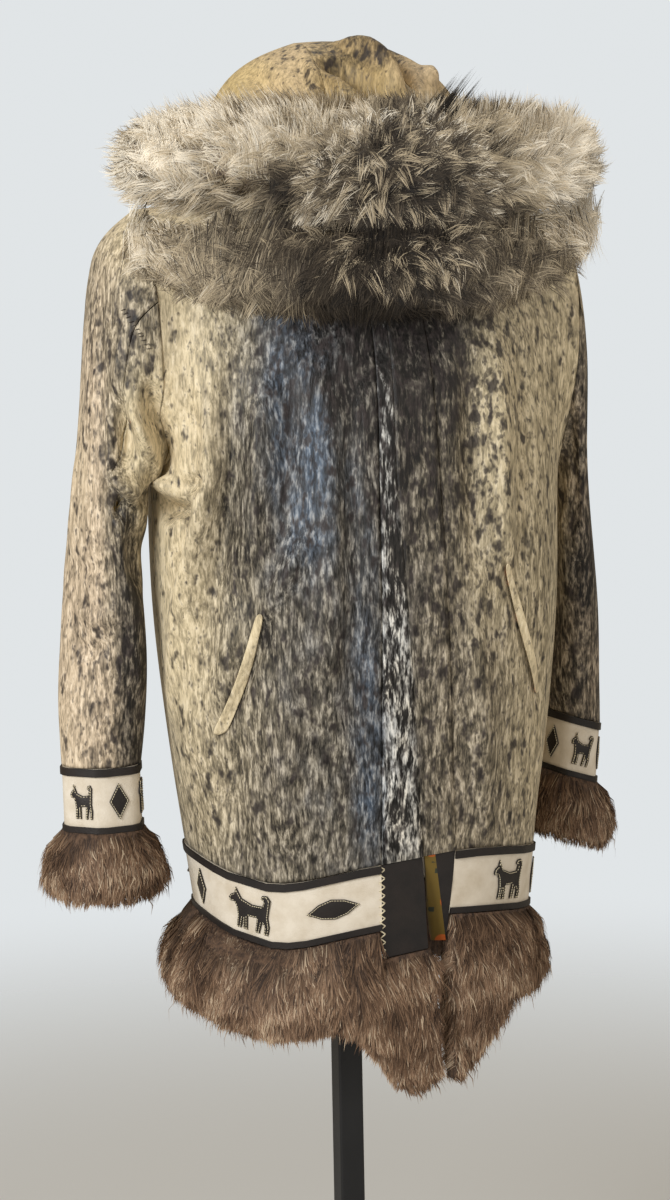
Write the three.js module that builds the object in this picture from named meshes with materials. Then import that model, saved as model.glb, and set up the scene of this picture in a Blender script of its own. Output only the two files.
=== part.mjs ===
// A hooded sealskin jacket on a limbless display stand, in millimetres, +Z up.
// The front faces -Y and the wearer's right hand is at -X. The origin is the middle of the
// base plate's underside. The garment stands a little forward of the pole.
import * as THREE from 'three';

const radians = THREE.MathUtils.degToRad;
const { clamp, lerp, smoothstep } = THREE.MathUtils;

// Garment, placed on the stand
const GARMENT_Y = -55;
const SEAM_GAP = 0.3;
const HIDE_WALL = 2.5;
const TRIM_WALL = 1.8;
const FUR_BAND_WALL = 3;
const FUR_BAND_PROUD = 1.6;

// Heights and widths of the body
const ARMPIT_HEIGHT = 1150;
const ROUNDNESS = 2.25;
const NECK_HALF_WIDTH = 88;
const NECK_MIDDLE_Y = 8;
const NECK_HALF_DEPTH = 78;
const NECK_FRONT_HEIGHT = 1352;
const NECK_SIDE_HEIGHT = 1428;
const NECK_BACK_HEIGHT = 1436;
const SHOULDER_X = 226;
const SHOULDER_HEIGHT = 1408;
const ARMHOLE_FOOT_X = 212;
const ARMHOLE_HALF_DEPTH = 78;
const NECK_ANGLE = 38;

// Front opening and its fur bands
const BAND_EDGE_X = 34;
const LEFT_BAND_TOP_X = 24;
const LEFT_BAND_FOOT_X = 42;
const LEFT_BAND_FALL = 400;
const OPENING_TOP_X = -20;
const OPENING_TOP_HEIGHT = 1180;
const OPENING_FOOT_X = 20;
const OPENING_FOOT_HEIGHT = 600;
const SLIT_TOP_HEIGHT = 790;
const SLIT_SPREAD = 0.12;
const FLAP_TURN_DEPTH = 24;
const FLAP_TURN_WIDTH = 56;

// Trim at hem and cuffs
const BAND_HEIGHT = 64;
const BINDING_HEIGHT = 8;
const LOW_BINDING_HEIGHT = 6;
const BAND_DROPS = [SEAM_GAP, BINDING_HEIGHT, BAND_HEIGHT - LOW_BINDING_HEIGHT, BAND_HEIGHT];
const FACING_HEIGHT = 92;
const FUR_LENGTH = 84;
const CORNER_FUR_LENGTH = 162;
const CUFF_FUR_LENGTH = 66;
const FIGURE_LIFT = 0.5;
const FIGURE_WALL = 1.2;

// Stand
const BASE_RADIUS = 190;
const BASE_HEIGHT = 8;
const BASE_EDGE = 2;
const POLE_SIDE = 27;
const POLE_CORNER = 3;
const POLE_TOP = 899.6;

// Half width and half depth of the body at each height.
const BODY_SECTIONS = [
  { at: 540, halfWidth: 170, halfDepth: 140 },
  { at: 704, halfWidth: 173, halfDepth: 143 },
  { at: 770, halfWidth: 181, halfDepth: 148 },
  { at: 870, halfWidth: 196, halfDepth: 155 },
  { at: 1015, halfWidth: 210, halfDepth: 163 },
  { at: 1150, halfWidth: 212, halfDepth: 160 },
];

// Height of the hem seam round the body; 0 degrees is the front, +90 the wearer's left.
const HEM_SEAM = [
  { at: -180, height: 766 },
  { at: -90, height: 777 },
  { at: -45, height: 758 },
  { at: -14, height: 772 },
  { at: 14, height: 782 },
  { at: 50, height: 771 },
  { at: 90, height: 760 },
  { at: 180, height: 766 },
];

// Soft folds of the body: a ridge or trough running from its foot to its top.
const BODY_FOLDS = [
  { footAngle: -74, topAngle: -58, foot: 880, top: 1240, spread: 9, depth: 7 },
  { footAngle: -52, topAngle: -42, foot: 860, top: 1200, spread: 9, depth: -5 },
  { footAngle: -38, topAngle: -26, foot: 880, top: 1080, spread: 7, depth: 4 },
  { footAngle: -15, topAngle: -15, foot: 780, top: 1200, spread: 5, depth: -3 },
  { footAngle: 44, topAngle: 34, foot: 820, top: 1220, spread: 9, depth: 4 },
  { footAngle: 64, topAngle: 58, foot: 800, top: 1180, spread: 8, depth: -4 },
  { footAngle: 132, topAngle: 122, foot: 780, top: 1180, spread: 11, depth: 6 },
  { footAngle: 176, topAngle: 178, foot: 760, top: 1220, spread: 13, depth: -6 },
  { footAngle: 222, topAngle: 236, foot: 780, top: 1180, spread: 11, depth: 6 },
];

// Sleeve rings from the armhole to the wrist seam, for an arm at +X.
const SLEEVE_SECTIONS = [
  { at: 0, innerX: 212.5, innerZ: 1150, outerX: 226.5, outerZ: 1408, halfDepth: 78, middleY: 0 },
  { at: 0.06, innerX: 217, innerZ: 1144, outerX: 244, outerZ: 1386, halfDepth: 77, middleY: 1 },
  { at: 0.14, innerX: 219, innerZ: 1133, outerX: 253, outerZ: 1344, halfDepth: 74, middleY: 3 },
  { at: 0.24, innerX: 220, innerZ: 1114, outerX: 259, outerZ: 1280, halfDepth: 69, middleY: 6 },
  { at: 0.36, innerX: 221, innerZ: 1082, outerX: 266, outerZ: 1198, halfDepth: 62, middleY: 10 },
  { at: 0.5, innerX: 221, innerZ: 1034, outerX: 274, outerZ: 1104, halfDepth: 55, middleY: 14 },
  { at: 0.66, innerX: 220, innerZ: 974, outerX: 280, outerZ: 1010, halfDepth: 50, middleY: 18 },
  { at: 0.82, innerX: 220, innerZ: 918, outerX: 283, outerZ: 930, halfDepth: 45, middleY: 20 },
  { at: 1, innerX: 224, innerZ: 868, outerX: 284, outerZ: 868, halfDepth: 40, middleY: 20 },
];

// Each arm's own hang: how far the wrist turns forward, and the heights of its wrist seam.
const ARMS = {
  right: { side: -1, turn: 70, shift: 12, slim: -15, innerWrist: 868, outerWrist: 865, slump: 9 },
  left: { side: 1, turn: 8, shift: 0, slim: 13, innerWrist: 892, outerWrist: 874, slump: 4 },
};
const SEAM_FRONT_ANGLE = 75;
const SEAM_BACK_ANGLE = -100;
const SLEEVE_SEAM_ANGLE = 0.3;

// Profile of the hood's centre strip, from nape to brow.
const HOOD_PROFILE = [
  { y: 86, z: NECK_BACK_HEIGHT },
  { y: 124, z: 1482 },
  { y: 136, z: 1530 },
  { y: 106, z: 1572 },
  { y: 50, z: 1588 },
  { y: -4, z: 1578 },
  { y: -52, z: 1542 },
  { y: -89, z: 1500.2 },
];
const HOOD_STRIP_HALF_WIDTH = 50;
const HOOD_SIDE_BULGE = 60;
const HOOD_BACK_BULGE = 22;
const HOOD_BROW_BULGE = 36;
const HOOD_LEAN = 0.03;

// Centre lines of the two rolls of the ruff, from the wearer's right to the left.
const RUFF_UPPER = [
  { x: -240, y: -12, z: 1448, radius: 14 },
  { x: -220, y: -32, z: 1447, radius: 38 },
  { x: -186, y: -62, z: 1447, radius: 53 },
  { x: -136, y: -95, z: 1445, radius: 61 },
  { x: -70, y: -119, z: 1440, radius: 67 },
  { x: 0, y: -127, z: 1440, radius: 69 },
  { x: 70, y: -121, z: 1444, radius: 67 },
  { x: 136, y: -97, z: 1452, radius: 61 },
  { x: 188, y: -61, z: 1462, radius: 52 },
  { x: 226, y: -28, z: 1468, radius: 38 },
  { x: 252, y: -4, z: 1470, radius: 14 },
];
const RUFF_LOWER = [
  { x: -246, y: -92, z: 1362, radius: 14 },
  { x: -220, y: -110, z: 1352, radius: 31 },
  { x: -164, y: -140, z: 1338, radius: 42 },
  { x: -84, y: -163.8, z: 1331, radius: 45 },
  { x: 0, y: -169, z: 1334, radius: 46 },
  { x: 76, y: -162, z: 1341, radius: 44 },
  { x: 138, y: -141, z: 1356, radius: 37 },
  { x: 182, y: -112, z: 1380, radius: 27 },
  { x: 210, y: -88, z: 1398, radius: 11 },
];

// The torso form inside, by height.
const FORM_SECTIONS = [
  { at: 900, halfWidth: 132, halfDepth: 92, middleY: 20 },
  { at: 912, halfWidth: 156, halfDepth: 112, middleY: 18 },
  { at: 980, halfWidth: 160, halfDepth: 116, middleY: 14 },
  { at: 1090, halfWidth: 142, halfDepth: 100, middleY: 8 },
  { at: 1210, halfWidth: 166, halfDepth: 108, middleY: 4 },
  { at: 1310, halfWidth: 178, halfDepth: 82, middleY: 4 },
  { at: 1370, halfWidth: 190, halfDepth: 54, middleY: 4 },
  { at: 1400, halfWidth: 180, halfDepth: 36, middleY: 4 },
  { at: 1415.2, halfWidth: 140, halfDepth: 24, middleY: 4 },
  { at: 1422.6, halfWidth: 74, halfDepth: 26, middleY: 6 },
  { at: 1430, halfWidth: 50, halfDepth: 44, middleY: 10 },
  { at: 1490, halfWidth: 44, halfDepth: 44, middleY: 32 },
  { at: 1550, halfWidth: 40, halfDepth: 40, middleY: 50 },
  { at: 1574, halfWidth: 26, halfDepth: 26, middleY: 50 },
  { at: 1585.2, halfWidth: 6, halfDepth: 6, middleY: 50 },
];

const COLOURS = {
  sealskin: 0xb9ab85,
  darkSealskin: 0x6e6152,
  paleSealskin: 0xcfc39a,
  silverSealskin: 0x5b5a5c,
  hoodSealskin: 0xcdbf8e,
  ruff: 0x9c8c78,
  brownFur: 0x7a5f4a,
  ivoryHide: 0xe6dfd2,
  darkLeather: 0x2a211e,
  lining: 0x8f7a2c,
  tape: 0x1b191a,
  blackSteel: 0x121214,
  formCloth: 0x1e1e20,
};

const jacket = new THREE.Group();
const garment = new THREE.Group();
garment.position.set(0, GARMENT_Y, 0);
jacket.add(garment);

function addPiece(parent, name, geometry, colour, roughness = 0.85, metalness = 0) {
  const material = new THREE.MeshStandardMaterial({ color: colour, roughness, metalness });
  const mesh = new THREE.Mesh(geometry, material);
  mesh.name = name;
  parent.add(mesh);
  return mesh;
}

// A smooth value between the rows of a table whose rows are sorted by "at".
function tableValue(table, column, at) {
  const last = table.length - 1;
  const inside = clamp(at, table[0].at, table[last].at);
  let row = 0;
  while (row < last - 1 && table[row + 1].at < inside) {
    row += 1;
  }
  const slope = (index) => {
    const before = table[Math.max(index - 1, 0)];
    const after = table[Math.min(index + 1, last)];
    return (after[column] - before[column]) / (after.at - before.at);
  };
  const here = table[row];
  const next = table[row + 1];
  const length = next.at - here.at;
  const t = (inside - here.at) / length;
  const t2 = t * t;
  const t3 = t2 * t;
  return (2 * t3 - 3 * t2 + 1) * here[column]
    + (t3 - 2 * t2 + t) * length * slope(row)
    + (3 * t2 - 2 * t3) * next[column]
    + (t3 - t2) * length * slope(row + 1);
}

function fractions(count, from = 0, to = 1) {
  return Array.from({ length: count + 1 }, (_, index) => lerp(from, to, index / count));
}

function signedVolume(positions, triangles) {
  const a = new THREE.Vector3();
  const b = new THREE.Vector3();
  const c = new THREE.Vector3();
  let sum = 0;
  for (let i = 0; i < triangles.length; i += 3) {
    a.fromArray(positions, triangles[i] * 3);
    b.fromArray(positions, triangles[i + 1] * 3);
    c.fromArray(positions, triangles[i + 2] * 3);
    sum += a.dot(b.cross(c));
  }
  return sum;
}

// A closed mesh of the given points and triangles, turned so that its faces point out.
function closedGeometry(positions, triangles) {
  if (signedVolume(positions, triangles) < 0) {
    triangles.reverse();
  }
  const geometry = new THREE.BufferGeometry();
  geometry.setAttribute('position', new THREE.Float32BufferAttribute(positions, 3));
  geometry.setIndex(triangles);
  return geometry;
}

// A wall between an outer and an inner grid of points. A closed wall runs round on itself.
function wallGeometry(outer, inner, closed = false) {
  const rows = outer.length;
  const columns = outer[0].length;
  const positions = [];
  for (const point of [...outer.flat(), ...inner.flat()]) {
    positions.push(point.x, point.y, point.z);
  }
  const at = (layer, row, column) => (layer * rows + row) * columns + (column % columns);
  const triangles = [];
  const quad = (a, b, c, d) => triangles.push(a, b, c, a, c, d);
  const span = closed ? columns : columns - 1;
  for (let j = 0; j < span; j += 1) {
    for (let i = 0; i < rows - 1; i += 1) {
      quad(at(0, i, j), at(0, i, j + 1), at(0, i + 1, j + 1), at(0, i + 1, j));
      quad(at(1, i, j), at(1, i + 1, j), at(1, i + 1, j + 1), at(1, i, j + 1));
    }
    const end = rows - 1;
    quad(at(1, 0, j), at(1, 0, j + 1), at(0, 0, j + 1), at(0, 0, j));
    quad(at(0, end, j), at(0, end, j + 1), at(1, end, j + 1), at(1, end, j));
  }
  for (let i = 0; i < rows - 1 && !closed; i += 1) {
    const side = columns - 1;
    quad(at(0, i, 0), at(0, i + 1, 0), at(1, i + 1, 0), at(1, i, 0));
    quad(at(1, i, side), at(1, i + 1, side), at(0, i + 1, side), at(0, i, side));
  }
  return closedGeometry(positions, triangles);
}

// A solid through rings of points: with flat ends, or joined into a loop.
function loftGeometry(rings, loop = false) {
  const count = rings.length;
  const size = rings[0].length;
  const positions = rings.flat().flatMap((point) => [point.x, point.y, point.z]);
  const at = (ring, index) => (ring % count) * size + (index % size);
  const triangles = [];
  for (let i = 0; i < (loop ? count : count - 1); i += 1) {
    for (let j = 0; j < size; j += 1) {
      triangles.push(at(i, j), at(i, j + 1), at(i + 1, j + 1));
      triangles.push(at(i, j), at(i + 1, j + 1), at(i + 1, j));
    }
  }
  for (let j = 1; j < size - 1 && !loop; j += 1) {
    triangles.push(at(0, 0), at(0, j + 1), at(0, j));
    triangles.push(at(count - 1, 0), at(count - 1, j), at(count - 1, j + 1));
  }
  return closedGeometry(positions, triangles);
}

// The grid's points moved inwards along its own normals, away from the side it shows.
function insetGrid(grid, distance, middle) {
  const rows = grid.length;
  const columns = grid[0].length;
  const normals = grid.map((row, i) => row.map((point, j) => {
    const along = new THREE.Vector3().subVectors(
      grid[Math.min(i + 1, rows - 1)][j], grid[Math.max(i - 1, 0)][j]);
    const across = new THREE.Vector3().subVectors(
      grid[i][Math.min(j + 1, columns - 1)], grid[i][Math.max(j - 1, 0)]);
    return along.cross(across).normalize();
  }));
  let facing = 0;
  grid.forEach((row, i) => row.forEach((point, j) => {
    facing += new THREE.Vector3().subVectors(point, middle).dot(normals[i][j]);
  }));
  const step = -distance * Math.sign(facing);
  return grid.map((row, i) => row.map((point, j) => point.clone().addScaledVector(normals[i][j], step)));
}

function power(value, exponent) {
  return Math.sign(value) * Math.abs(value) ** exponent;
}

// The body below the armpits
function foldDepth(angle, height) {
  let depth = 0;
  for (const fold of BODY_FOLDS) {
    const along = clamp((height - fold.foot) / (fold.top - fold.foot), 0, 1);
    const ends = smoothstep(height, fold.foot - 70, fold.foot + 40)
      * (1 - smoothstep(height, fold.top - 90, fold.top + 20));
    let away = angle - lerp(fold.footAngle, fold.topAngle, along);
    away -= 360 * Math.round(away / 360);
    depth += fold.depth * ends * Math.exp(-((away / fold.spread) ** 2));
  }
  return depth;
}

function hemSeam(angle) {
  const turned = angle - 360 * Math.round(angle / 360);
  return tableValue(HEM_SEAM, 'height', turned);
}

function openingX(height) {
  const along = clamp((OPENING_TOP_HEIGHT - height) / (OPENING_TOP_HEIGHT - OPENING_FOOT_HEIGHT), 0, 1);
  return lerp(OPENING_TOP_X, OPENING_FOOT_X, along);
}

// The wearer's left front edge swings away from the right one below the end of the zip.
function slitWidth(height) {
  return Math.max(0, SLIT_TOP_HEIGHT - height) * SLIT_SPREAD;
}

function angleAtX(x, height) {
  const halfWidth = tableValue(BODY_SECTIONS, 'halfWidth', height);
  return THREE.MathUtils.radToDeg(Math.asin(power(x / halfWidth, ROUNDNESS / 2)));
}

// A point of the body's outside, or outward of it by "proud".
function ringPoint(angle, height, proud = 0) {
  const grow = proud + foldDepth(angle, height);
  const halfWidth = tableValue(BODY_SECTIONS, 'halfWidth', height) + grow;
  const halfDepth = tableValue(BODY_SECTIONS, 'halfDepth', height) + grow;
  const x = halfWidth * power(Math.sin(radians(angle)), 2 / ROUNDNESS);
  let y = -halfDepth * power(Math.cos(radians(angle)), 2 / ROUNDNESS);
  const edge = openingX(height) + slitWidth(height);
  if (y < 0 && x > edge - 1) {
    const near = clamp(1 - (x - edge) / FLAP_TURN_WIDTH, 0, 1);
    const low = 1 - smoothstep(height, 690, 800);
    y += FLAP_TURN_DEPTH * low * near * near;
  }
  return new THREE.Vector3(x, y, height);
}

// The neck edge: 0 degrees is its front, 180 the nape.
function neckPoint(angle) {
  const fromFront = Math.abs(angle - 360 * Math.round(angle / 360));
  const front = lerp(NECK_FRONT_HEIGHT, NECK_SIDE_HEIGHT, smoothstep(fromFront, 0, 90));
  const back = lerp(NECK_SIDE_HEIGHT, NECK_BACK_HEIGHT, smoothstep(fromFront, 90, 180));
  return new THREE.Vector3(
    NECK_HALF_WIDTH * Math.sin(radians(angle)),
    NECK_MIDDLE_Y - NECK_HALF_DEPTH * Math.cos(radians(angle)),
    fromFront < 90 ? front : back);
}

function armholePoint(side, angle) {
  const middleX = (ARMHOLE_FOOT_X + SHOULDER_X) / 2;
  const middleZ = (ARMPIT_HEIGHT + SHOULDER_HEIGHT) / 2;
  return new THREE.Vector3(
    side * (middleX + (SHOULDER_X - middleX) * Math.cos(radians(angle))),
    -ARMHOLE_HALF_DEPTH * Math.sin(radians(angle)),
    middleZ + (SHOULDER_HEIGHT - middleZ) * Math.cos(radians(angle)));
}

// The body above the armpits: "rise" runs from 0 at the armpits to 1 at neck and shoulders.
function yokePoint(angle, rise) {
  const back = Math.abs(angle) > 90;
  const fromMiddle = back ? angle - 180 * Math.sign(angle) : angle;
  const side = Math.sign(Math.sin(radians(angle))) || 1;
  const share = Math.abs(fromMiddle) / 90;
  const neckShare = NECK_ANGLE / 90;
  let top;
  if (share < neckShare) {
    const neckAngle = side * (share / neckShare) * 90;
    top = neckPoint(back ? 180 - neckAngle : neckAngle);
  } else {
    const along = (share - neckShare) / (1 - neckShare);
    top = neckPoint(side * 90).lerp(armholePoint(side, 0), along);
  }
  const foot = ringPoint(angle, ARMPIT_HEIGHT);
  const turn = radians(90 * rise);
  const point = new THREE.Vector3(
    lerp(foot.x, top.x, rise),
    lerp(foot.y, top.y, 1 - Math.cos(turn)),
    lerp(foot.z, top.z, Math.sin(turn)));
  const edge = armholePoint(side, (back ? -1 : 1) * 180 * (1 - rise));
  const footEdge = ringPoint(side * 90, ARMPIT_HEIGHT);
  const topEdge = armholePoint(side, 0);
  const plain = new THREE.Vector3(
    lerp(footEdge.x, topEdge.x, rise),
    lerp(footEdge.y, topEdge.y, 1 - Math.cos(turn)),
    lerp(footEdge.z, topEdge.z, Math.sin(turn)));
  const pull = share ** 3;
  return point.addScaledVector(edge.sub(plain), pull);
}

// The body's surface from hem seam (level 0) through the armpits (1) to the neck (2).
function bodyPoint(angle, level) {
  if (level <= 1) {
    return ringPoint(angle, lerp(hemSeam(angle), ARMPIT_HEIGHT, level));
  }
  return yokePoint(angle, level - 1);
}

const HEM_SEAM_LEVEL = 0.0016;
const BODY_ROWS = [...fractions(10, HEM_SEAM_LEVEL, 1), ...fractions(7, 1.125, 1.999)];
const HALF_GAP_ANGLE = 0.05;
const BODY_MIDDLE = new THREE.Vector3(0, 0, 1050);

function bodyHeight(angle, level) {
  return level <= 1 ? lerp(hemSeam(angle), ARMPIT_HEIGHT, level) : ARMPIT_HEIGHT;
}

// Keeps the wall upright at the shoulder seam and the neck, so that front and back stay apart.
function uprightTopEdge(outer, inner, depth) {
  const last = outer.length - 1;
  inner[last].forEach((point, column) => {
    point.copy(outer[last][column]);
    point.z -= depth;
  });
  return inner;
}

// A front or back piece between two edges, each given as an angle at a height.
function bodyPanel(startEdge, endEdge, columns) {
  const outer = BODY_ROWS.map((level) => {
    const start = startEdge(bodyHeight(0, level));
    const end = endEdge(bodyHeight(0, level));
    return fractions(columns, start, end).map((angle) => bodyPoint(angle, level));
  });
  return { outer, inner: uprightTopEdge(outer, insetGrid(outer, HIDE_WALL, BODY_MIDDLE), HIDE_WALL) };
}

const halfGap = SEAM_GAP / 2;
const rightBandEdge = (height, gap) => angleAtX(-BAND_EDGE_X + gap, height);
const leftBandEdge = (height, gap) => {
  const along = clamp((OPENING_TOP_HEIGHT - height) / LEFT_BAND_FALL, 0, 1);
  return angleAtX(lerp(LEFT_BAND_TOP_X, LEFT_BAND_FOOT_X, along) + gap, height);
};
const rightOpening = (height, gap) => angleAtX(openingX(height) + gap, height);
const leftOpening = (height, gap) => angleAtX(openingX(height) + slitWidth(height) + gap, height);

const frontRight = bodyPanel(() => -90 + HALF_GAP_ANGLE, (height) => rightBandEdge(height, -halfGap), 10);
const frontLeft = bodyPanel((height) => leftBandEdge(height, halfGap), () => 90 - HALF_GAP_ANGLE, 10);
const back = bodyPanel(() => 90 + HALF_GAP_ANGLE, () => 270 - HALF_GAP_ANGLE, 18);
addPiece(garment, 'front_right', wallGeometry(frontRight.outer, frontRight.inner), COLOURS.sealskin);
addPiece(garment, 'front_left', wallGeometry(frontLeft.outer, frontLeft.inner), COLOURS.sealskin);
addPiece(garment, 'back', wallGeometry(back.outer, back.inner), COLOURS.sealskin);

// Fur bands down the front edges, a little proud of the fronts
function frontBand(startEdge, endEdge) {
  const rows = BODY_ROWS.filter((level) => level < 1.98);
  const surface = rows.map((level) => {
    const start = startEdge(bodyHeight(0, level));
    const end = endEdge(bodyHeight(0, level));
    return fractions(2, start, end).map((angle) => bodyPoint(angle, level));
  });
  const outer = insetGrid(surface, -FUR_BAND_PROUD, BODY_MIDDLE);
  return wallGeometry(outer, insetGrid(surface, FUR_BAND_WALL - FUR_BAND_PROUD, BODY_MIDDLE));
}

addPiece(garment, 'placket_right', frontBand(
  (height) => rightBandEdge(height, halfGap), (height) => rightOpening(height, -halfGap)),
COLOURS.silverSealskin);
addPiece(garment, 'placket_left', frontBand(
  (height) => leftOpening(height, halfGap), (height) => leftBandEdge(height, -halfGap)),
COLOURS.silverSealskin);

// Zip tape behind the bands, ending at the top of the slit
const TAPE_HALF_WIDTH = 11;
const TAPE_DEPTH = 1.9;
function zipTape() {
  const surface = BODY_ROWS.filter((level) => level > 0.06 && level < 1.9).map((level) => {
    const height = bodyHeight(0, level);
    const middle = openingX(height);
    const edges = [-TAPE_HALF_WIDTH, 0, TAPE_HALF_WIDTH];
    return edges.map((away) => bodyPoint(angleAtX(middle + away, height), level));
  });
  const outer = insetGrid(surface, TAPE_DEPTH, BODY_MIDDLE);
  return wallGeometry(outer, insetGrid(surface, TAPE_DEPTH + 1, BODY_MIDDLE));
}
addPiece(garment, 'zip_tape', zipTape(), COLOURS.tape);

// Pocket welts: a slanting strip on each front
const WELT_HALF_WIDTH = 4;
const WELT_LIFT = 0.8;
const WELT_WALL = 2;
const WELTS = {
  right: { side: -1, topX: 144, footX: 176, top: 1020, foot: 900 },
  left: { side: 1, topX: 98, footX: 146, top: 1060, foot: 925 },
};
for (const [name, welt] of Object.entries(WELTS)) {
  const rows = fractions(8).map((along) => {
    const height = lerp(welt.top, welt.foot, along);
    const x = welt.side * lerp(welt.topX, welt.footX, along);
    return [-WELT_HALF_WIDTH, WELT_HALF_WIDTH].map((away) => ({ angle: angleAtX(x + away, height), height }));
  });
  const grid = (proud) => rows.map((row) => row.map((spot) => ringPoint(spot.angle, spot.height, proud)));
  addPiece(garment, `pocket_welt_${name}`, wallGeometry(
    grid(WELT_LIFT + WELT_WALL), grid(WELT_LIFT)), COLOURS.paleSealskin);
}

// Sleeves
function sleeveSlump(arm, angle, along) {
  const under = Math.max(0, -Math.cos(radians(angle - 20)));
  const roll = Math.exp(-(((along - 0.28) / 0.06) ** 2));
  const crease = Math.exp(-(((along - 0.38) / 0.035) ** 2));
  const lower = Math.exp(-(((along - 0.46) / 0.04) ** 2));
  return arm.slump * under * (roll - 0.8 * crease + 0.5 * lower) * (Math.sin(radians(angle)) > -0.2 ? 1 : 0.4);
}

function sleevePoint(arm, angle, along, proud = 0) {
  const row = (column) => tableValue(SLEEVE_SECTIONS, column, along);
  const wrist = along ** 3;
  const shift = arm.shift * smoothstep(along, 0.2, 0.8);
  const slim = arm.slim * smoothstep(along, 0, 0.08) * (1 - smoothstep(along, 0.3, 0.72));
  const inner = new THREE.Vector3(row('innerX') + shift, 0, row('innerZ') + wrist * (arm.innerWrist - 868));
  const outer = new THREE.Vector3(row('outerX') + shift - slim, 0, row('outerZ') + wrist * (arm.outerWrist - 868));
  const middle = new THREE.Vector3().addVectors(inner, outer).multiplyScalar(0.5);
  const reach = new THREE.Vector3().subVectors(outer, middle);
  const length = reach.length();
  const grow = proud + sleeveSlump(arm, angle, along);
  const toOuter = reach.multiplyScalar((length + grow) / length * Math.cos(radians(angle)));
  const toFront = -(row('halfDepth') + grow) * Math.sin(radians(angle));
  const turn = radians(arm.turn * smoothstep(along, 0.3, 1));
  return new THREE.Vector3(
    arm.side * (middle.x + toOuter.x * Math.cos(turn) + toFront * Math.sin(turn)),
    row('middleY') - toOuter.x * Math.sin(turn) + toFront * Math.cos(turn),
    middle.z + toOuter.z);
}

const SLEEVE_ROWS = fractions(15, 0, 0.9985);
function sleevePanel(arm, from, to, columns) {
  const grid = (proud) => SLEEVE_ROWS.map((along) => fractions(columns, from, to)
    .map((angle) => sleevePoint(arm, angle, along, proud)));
  return wallGeometry(grid(0), grid(-HIDE_WALL));
}

for (const [name, arm] of Object.entries(ARMS)) {
  addPiece(garment, `sleeve_outer_${name}`, sleevePanel(
    arm, SEAM_BACK_ANGLE + SLEEVE_SEAM_ANGLE, SEAM_FRONT_ANGLE - SLEEVE_SEAM_ANGLE, 10), COLOURS.darkSealskin);
  addPiece(garment, `sleeve_under_${name}`, sleevePanel(
    arm, SEAM_FRONT_ANGLE + SLEEVE_SEAM_ANGLE, SEAM_BACK_ANGLE + 360 - SLEEVE_SEAM_ANGLE, 10), COLOURS.paleSealskin);
}

// Hood: a centre strip from nape to brow, and a D-shaped side on each hand
const hoodCurve = new THREE.CatmullRomCurve3(
  HOOD_PROFILE.map((spot) => new THREE.Vector3(0, spot.y, spot.z)));
const HOOD_FOOT_LIFT = 1.8;
const HOOD_FRONT_LIFT = 5;
const HOOD_TOP_BULGE = 28;
const HOOD_NAPE_ANGLE = 150;
const HOOD_MIDDLE = new THREE.Vector3(0, 30, 1490);

function lean(point) {
  point.x += HOOD_LEAN * (point.z - NECK_SIDE_HEIGHT) * smoothstep(point.z, NECK_SIDE_HEIGHT, 1500);
  return point;
}

function hoodStripPoint(along, share) {
  if (along < 0.001) {
    const nape = neckPoint(180 - (180 - HOOD_NAPE_ANGLE) * share);
    return nape.setZ(nape.z + HOOD_FOOT_LIFT);
  }
  const point = hoodCurve.getPoint(along);
  const widen = smoothstep(along, 0, 0.2);
  point.x = share * lerp(neckPoint(HOOD_NAPE_ANGLE).x, HOOD_STRIP_HALF_WIDTH, widen);
  point.z += HOOD_FOOT_LIFT - 5 * share * share * widen;
  return point;
}

// Moves the inner points of a shared seam straight towards the hood's middle.
function seamInwards(point) {
  const inward = new THREE.Vector3(0, HOOD_MIDDLE.y, HOOD_MIDDLE.z).sub(point).normalize();
  return point.clone().addScaledVector(inward, HIDE_WALL);
}

function hoodStrip() {
  const gapShare = 1 - halfGap / HOOD_STRIP_HALF_WIDTH;
  const outer = fractions(12).map((along) => fractions(4, -gapShare, gapShare)
    .map((share) => hoodStripPoint(along, share)));
  const inner = insetGrid(outer, HIDE_WALL, HOOD_MIDDLE);
  inner.forEach((row, index) => {
    row[0] = seamInwards(outer[index][0]);
    row[4] = seamInwards(outer[index][4]);
  });
  return wallGeometry(outer.map((row) => row.map(lean)), inner.map((row) => row.map(lean)));
}

function hoodSide(side) {
  const outer = fractions(12).map((along) => {
    const start = hoodStripPoint(along, side);
    start.x += side * halfGap;
    const foot = neckPoint(side * lerp(122, 62, along));
    foot.z += HOOD_FOOT_LIFT + HOOD_FRONT_LIFT * along * along;
    const full = smoothstep(along, 0, 0.35);
    return fractions(6).map((down) => {
      if (along < 0.001) {
        const edge = neckPoint(side * lerp(HOOD_NAPE_ANGLE - 0.2, 122, down));
        return edge.setZ(edge.z + HOOD_FOOT_LIFT);
      }
      const point = start.clone().lerp(foot, down);
      const bulge = Math.sin(Math.PI * down) * full;
      point.x += side * HOOD_SIDE_BULGE * bulge;
      point.y += (HOOD_BACK_BULGE * (1 - along) + HOOD_BROW_BULGE * along ** 3) * bulge;
      point.z += HOOD_TOP_BULGE * bulge * (1 - down);
      return point;
    });
  });
  const inner = insetGrid(outer, HIDE_WALL, HOOD_MIDDLE);
  inner.forEach((row, index) => {
    row[0] = seamInwards(outer[index][0]);
  });
  return wallGeometry(outer.map((row) => row.map(lean)), inner.map((row) => row.map(lean)));
}

addPiece(garment, 'hood_centre', hoodStrip(), COLOURS.hoodSealskin);
addPiece(garment, 'hood_right', hoodSide(-1), COLOURS.hoodSealskin);
addPiece(garment, 'hood_left', hoodSide(1), COLOURS.hoodSealskin);

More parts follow.
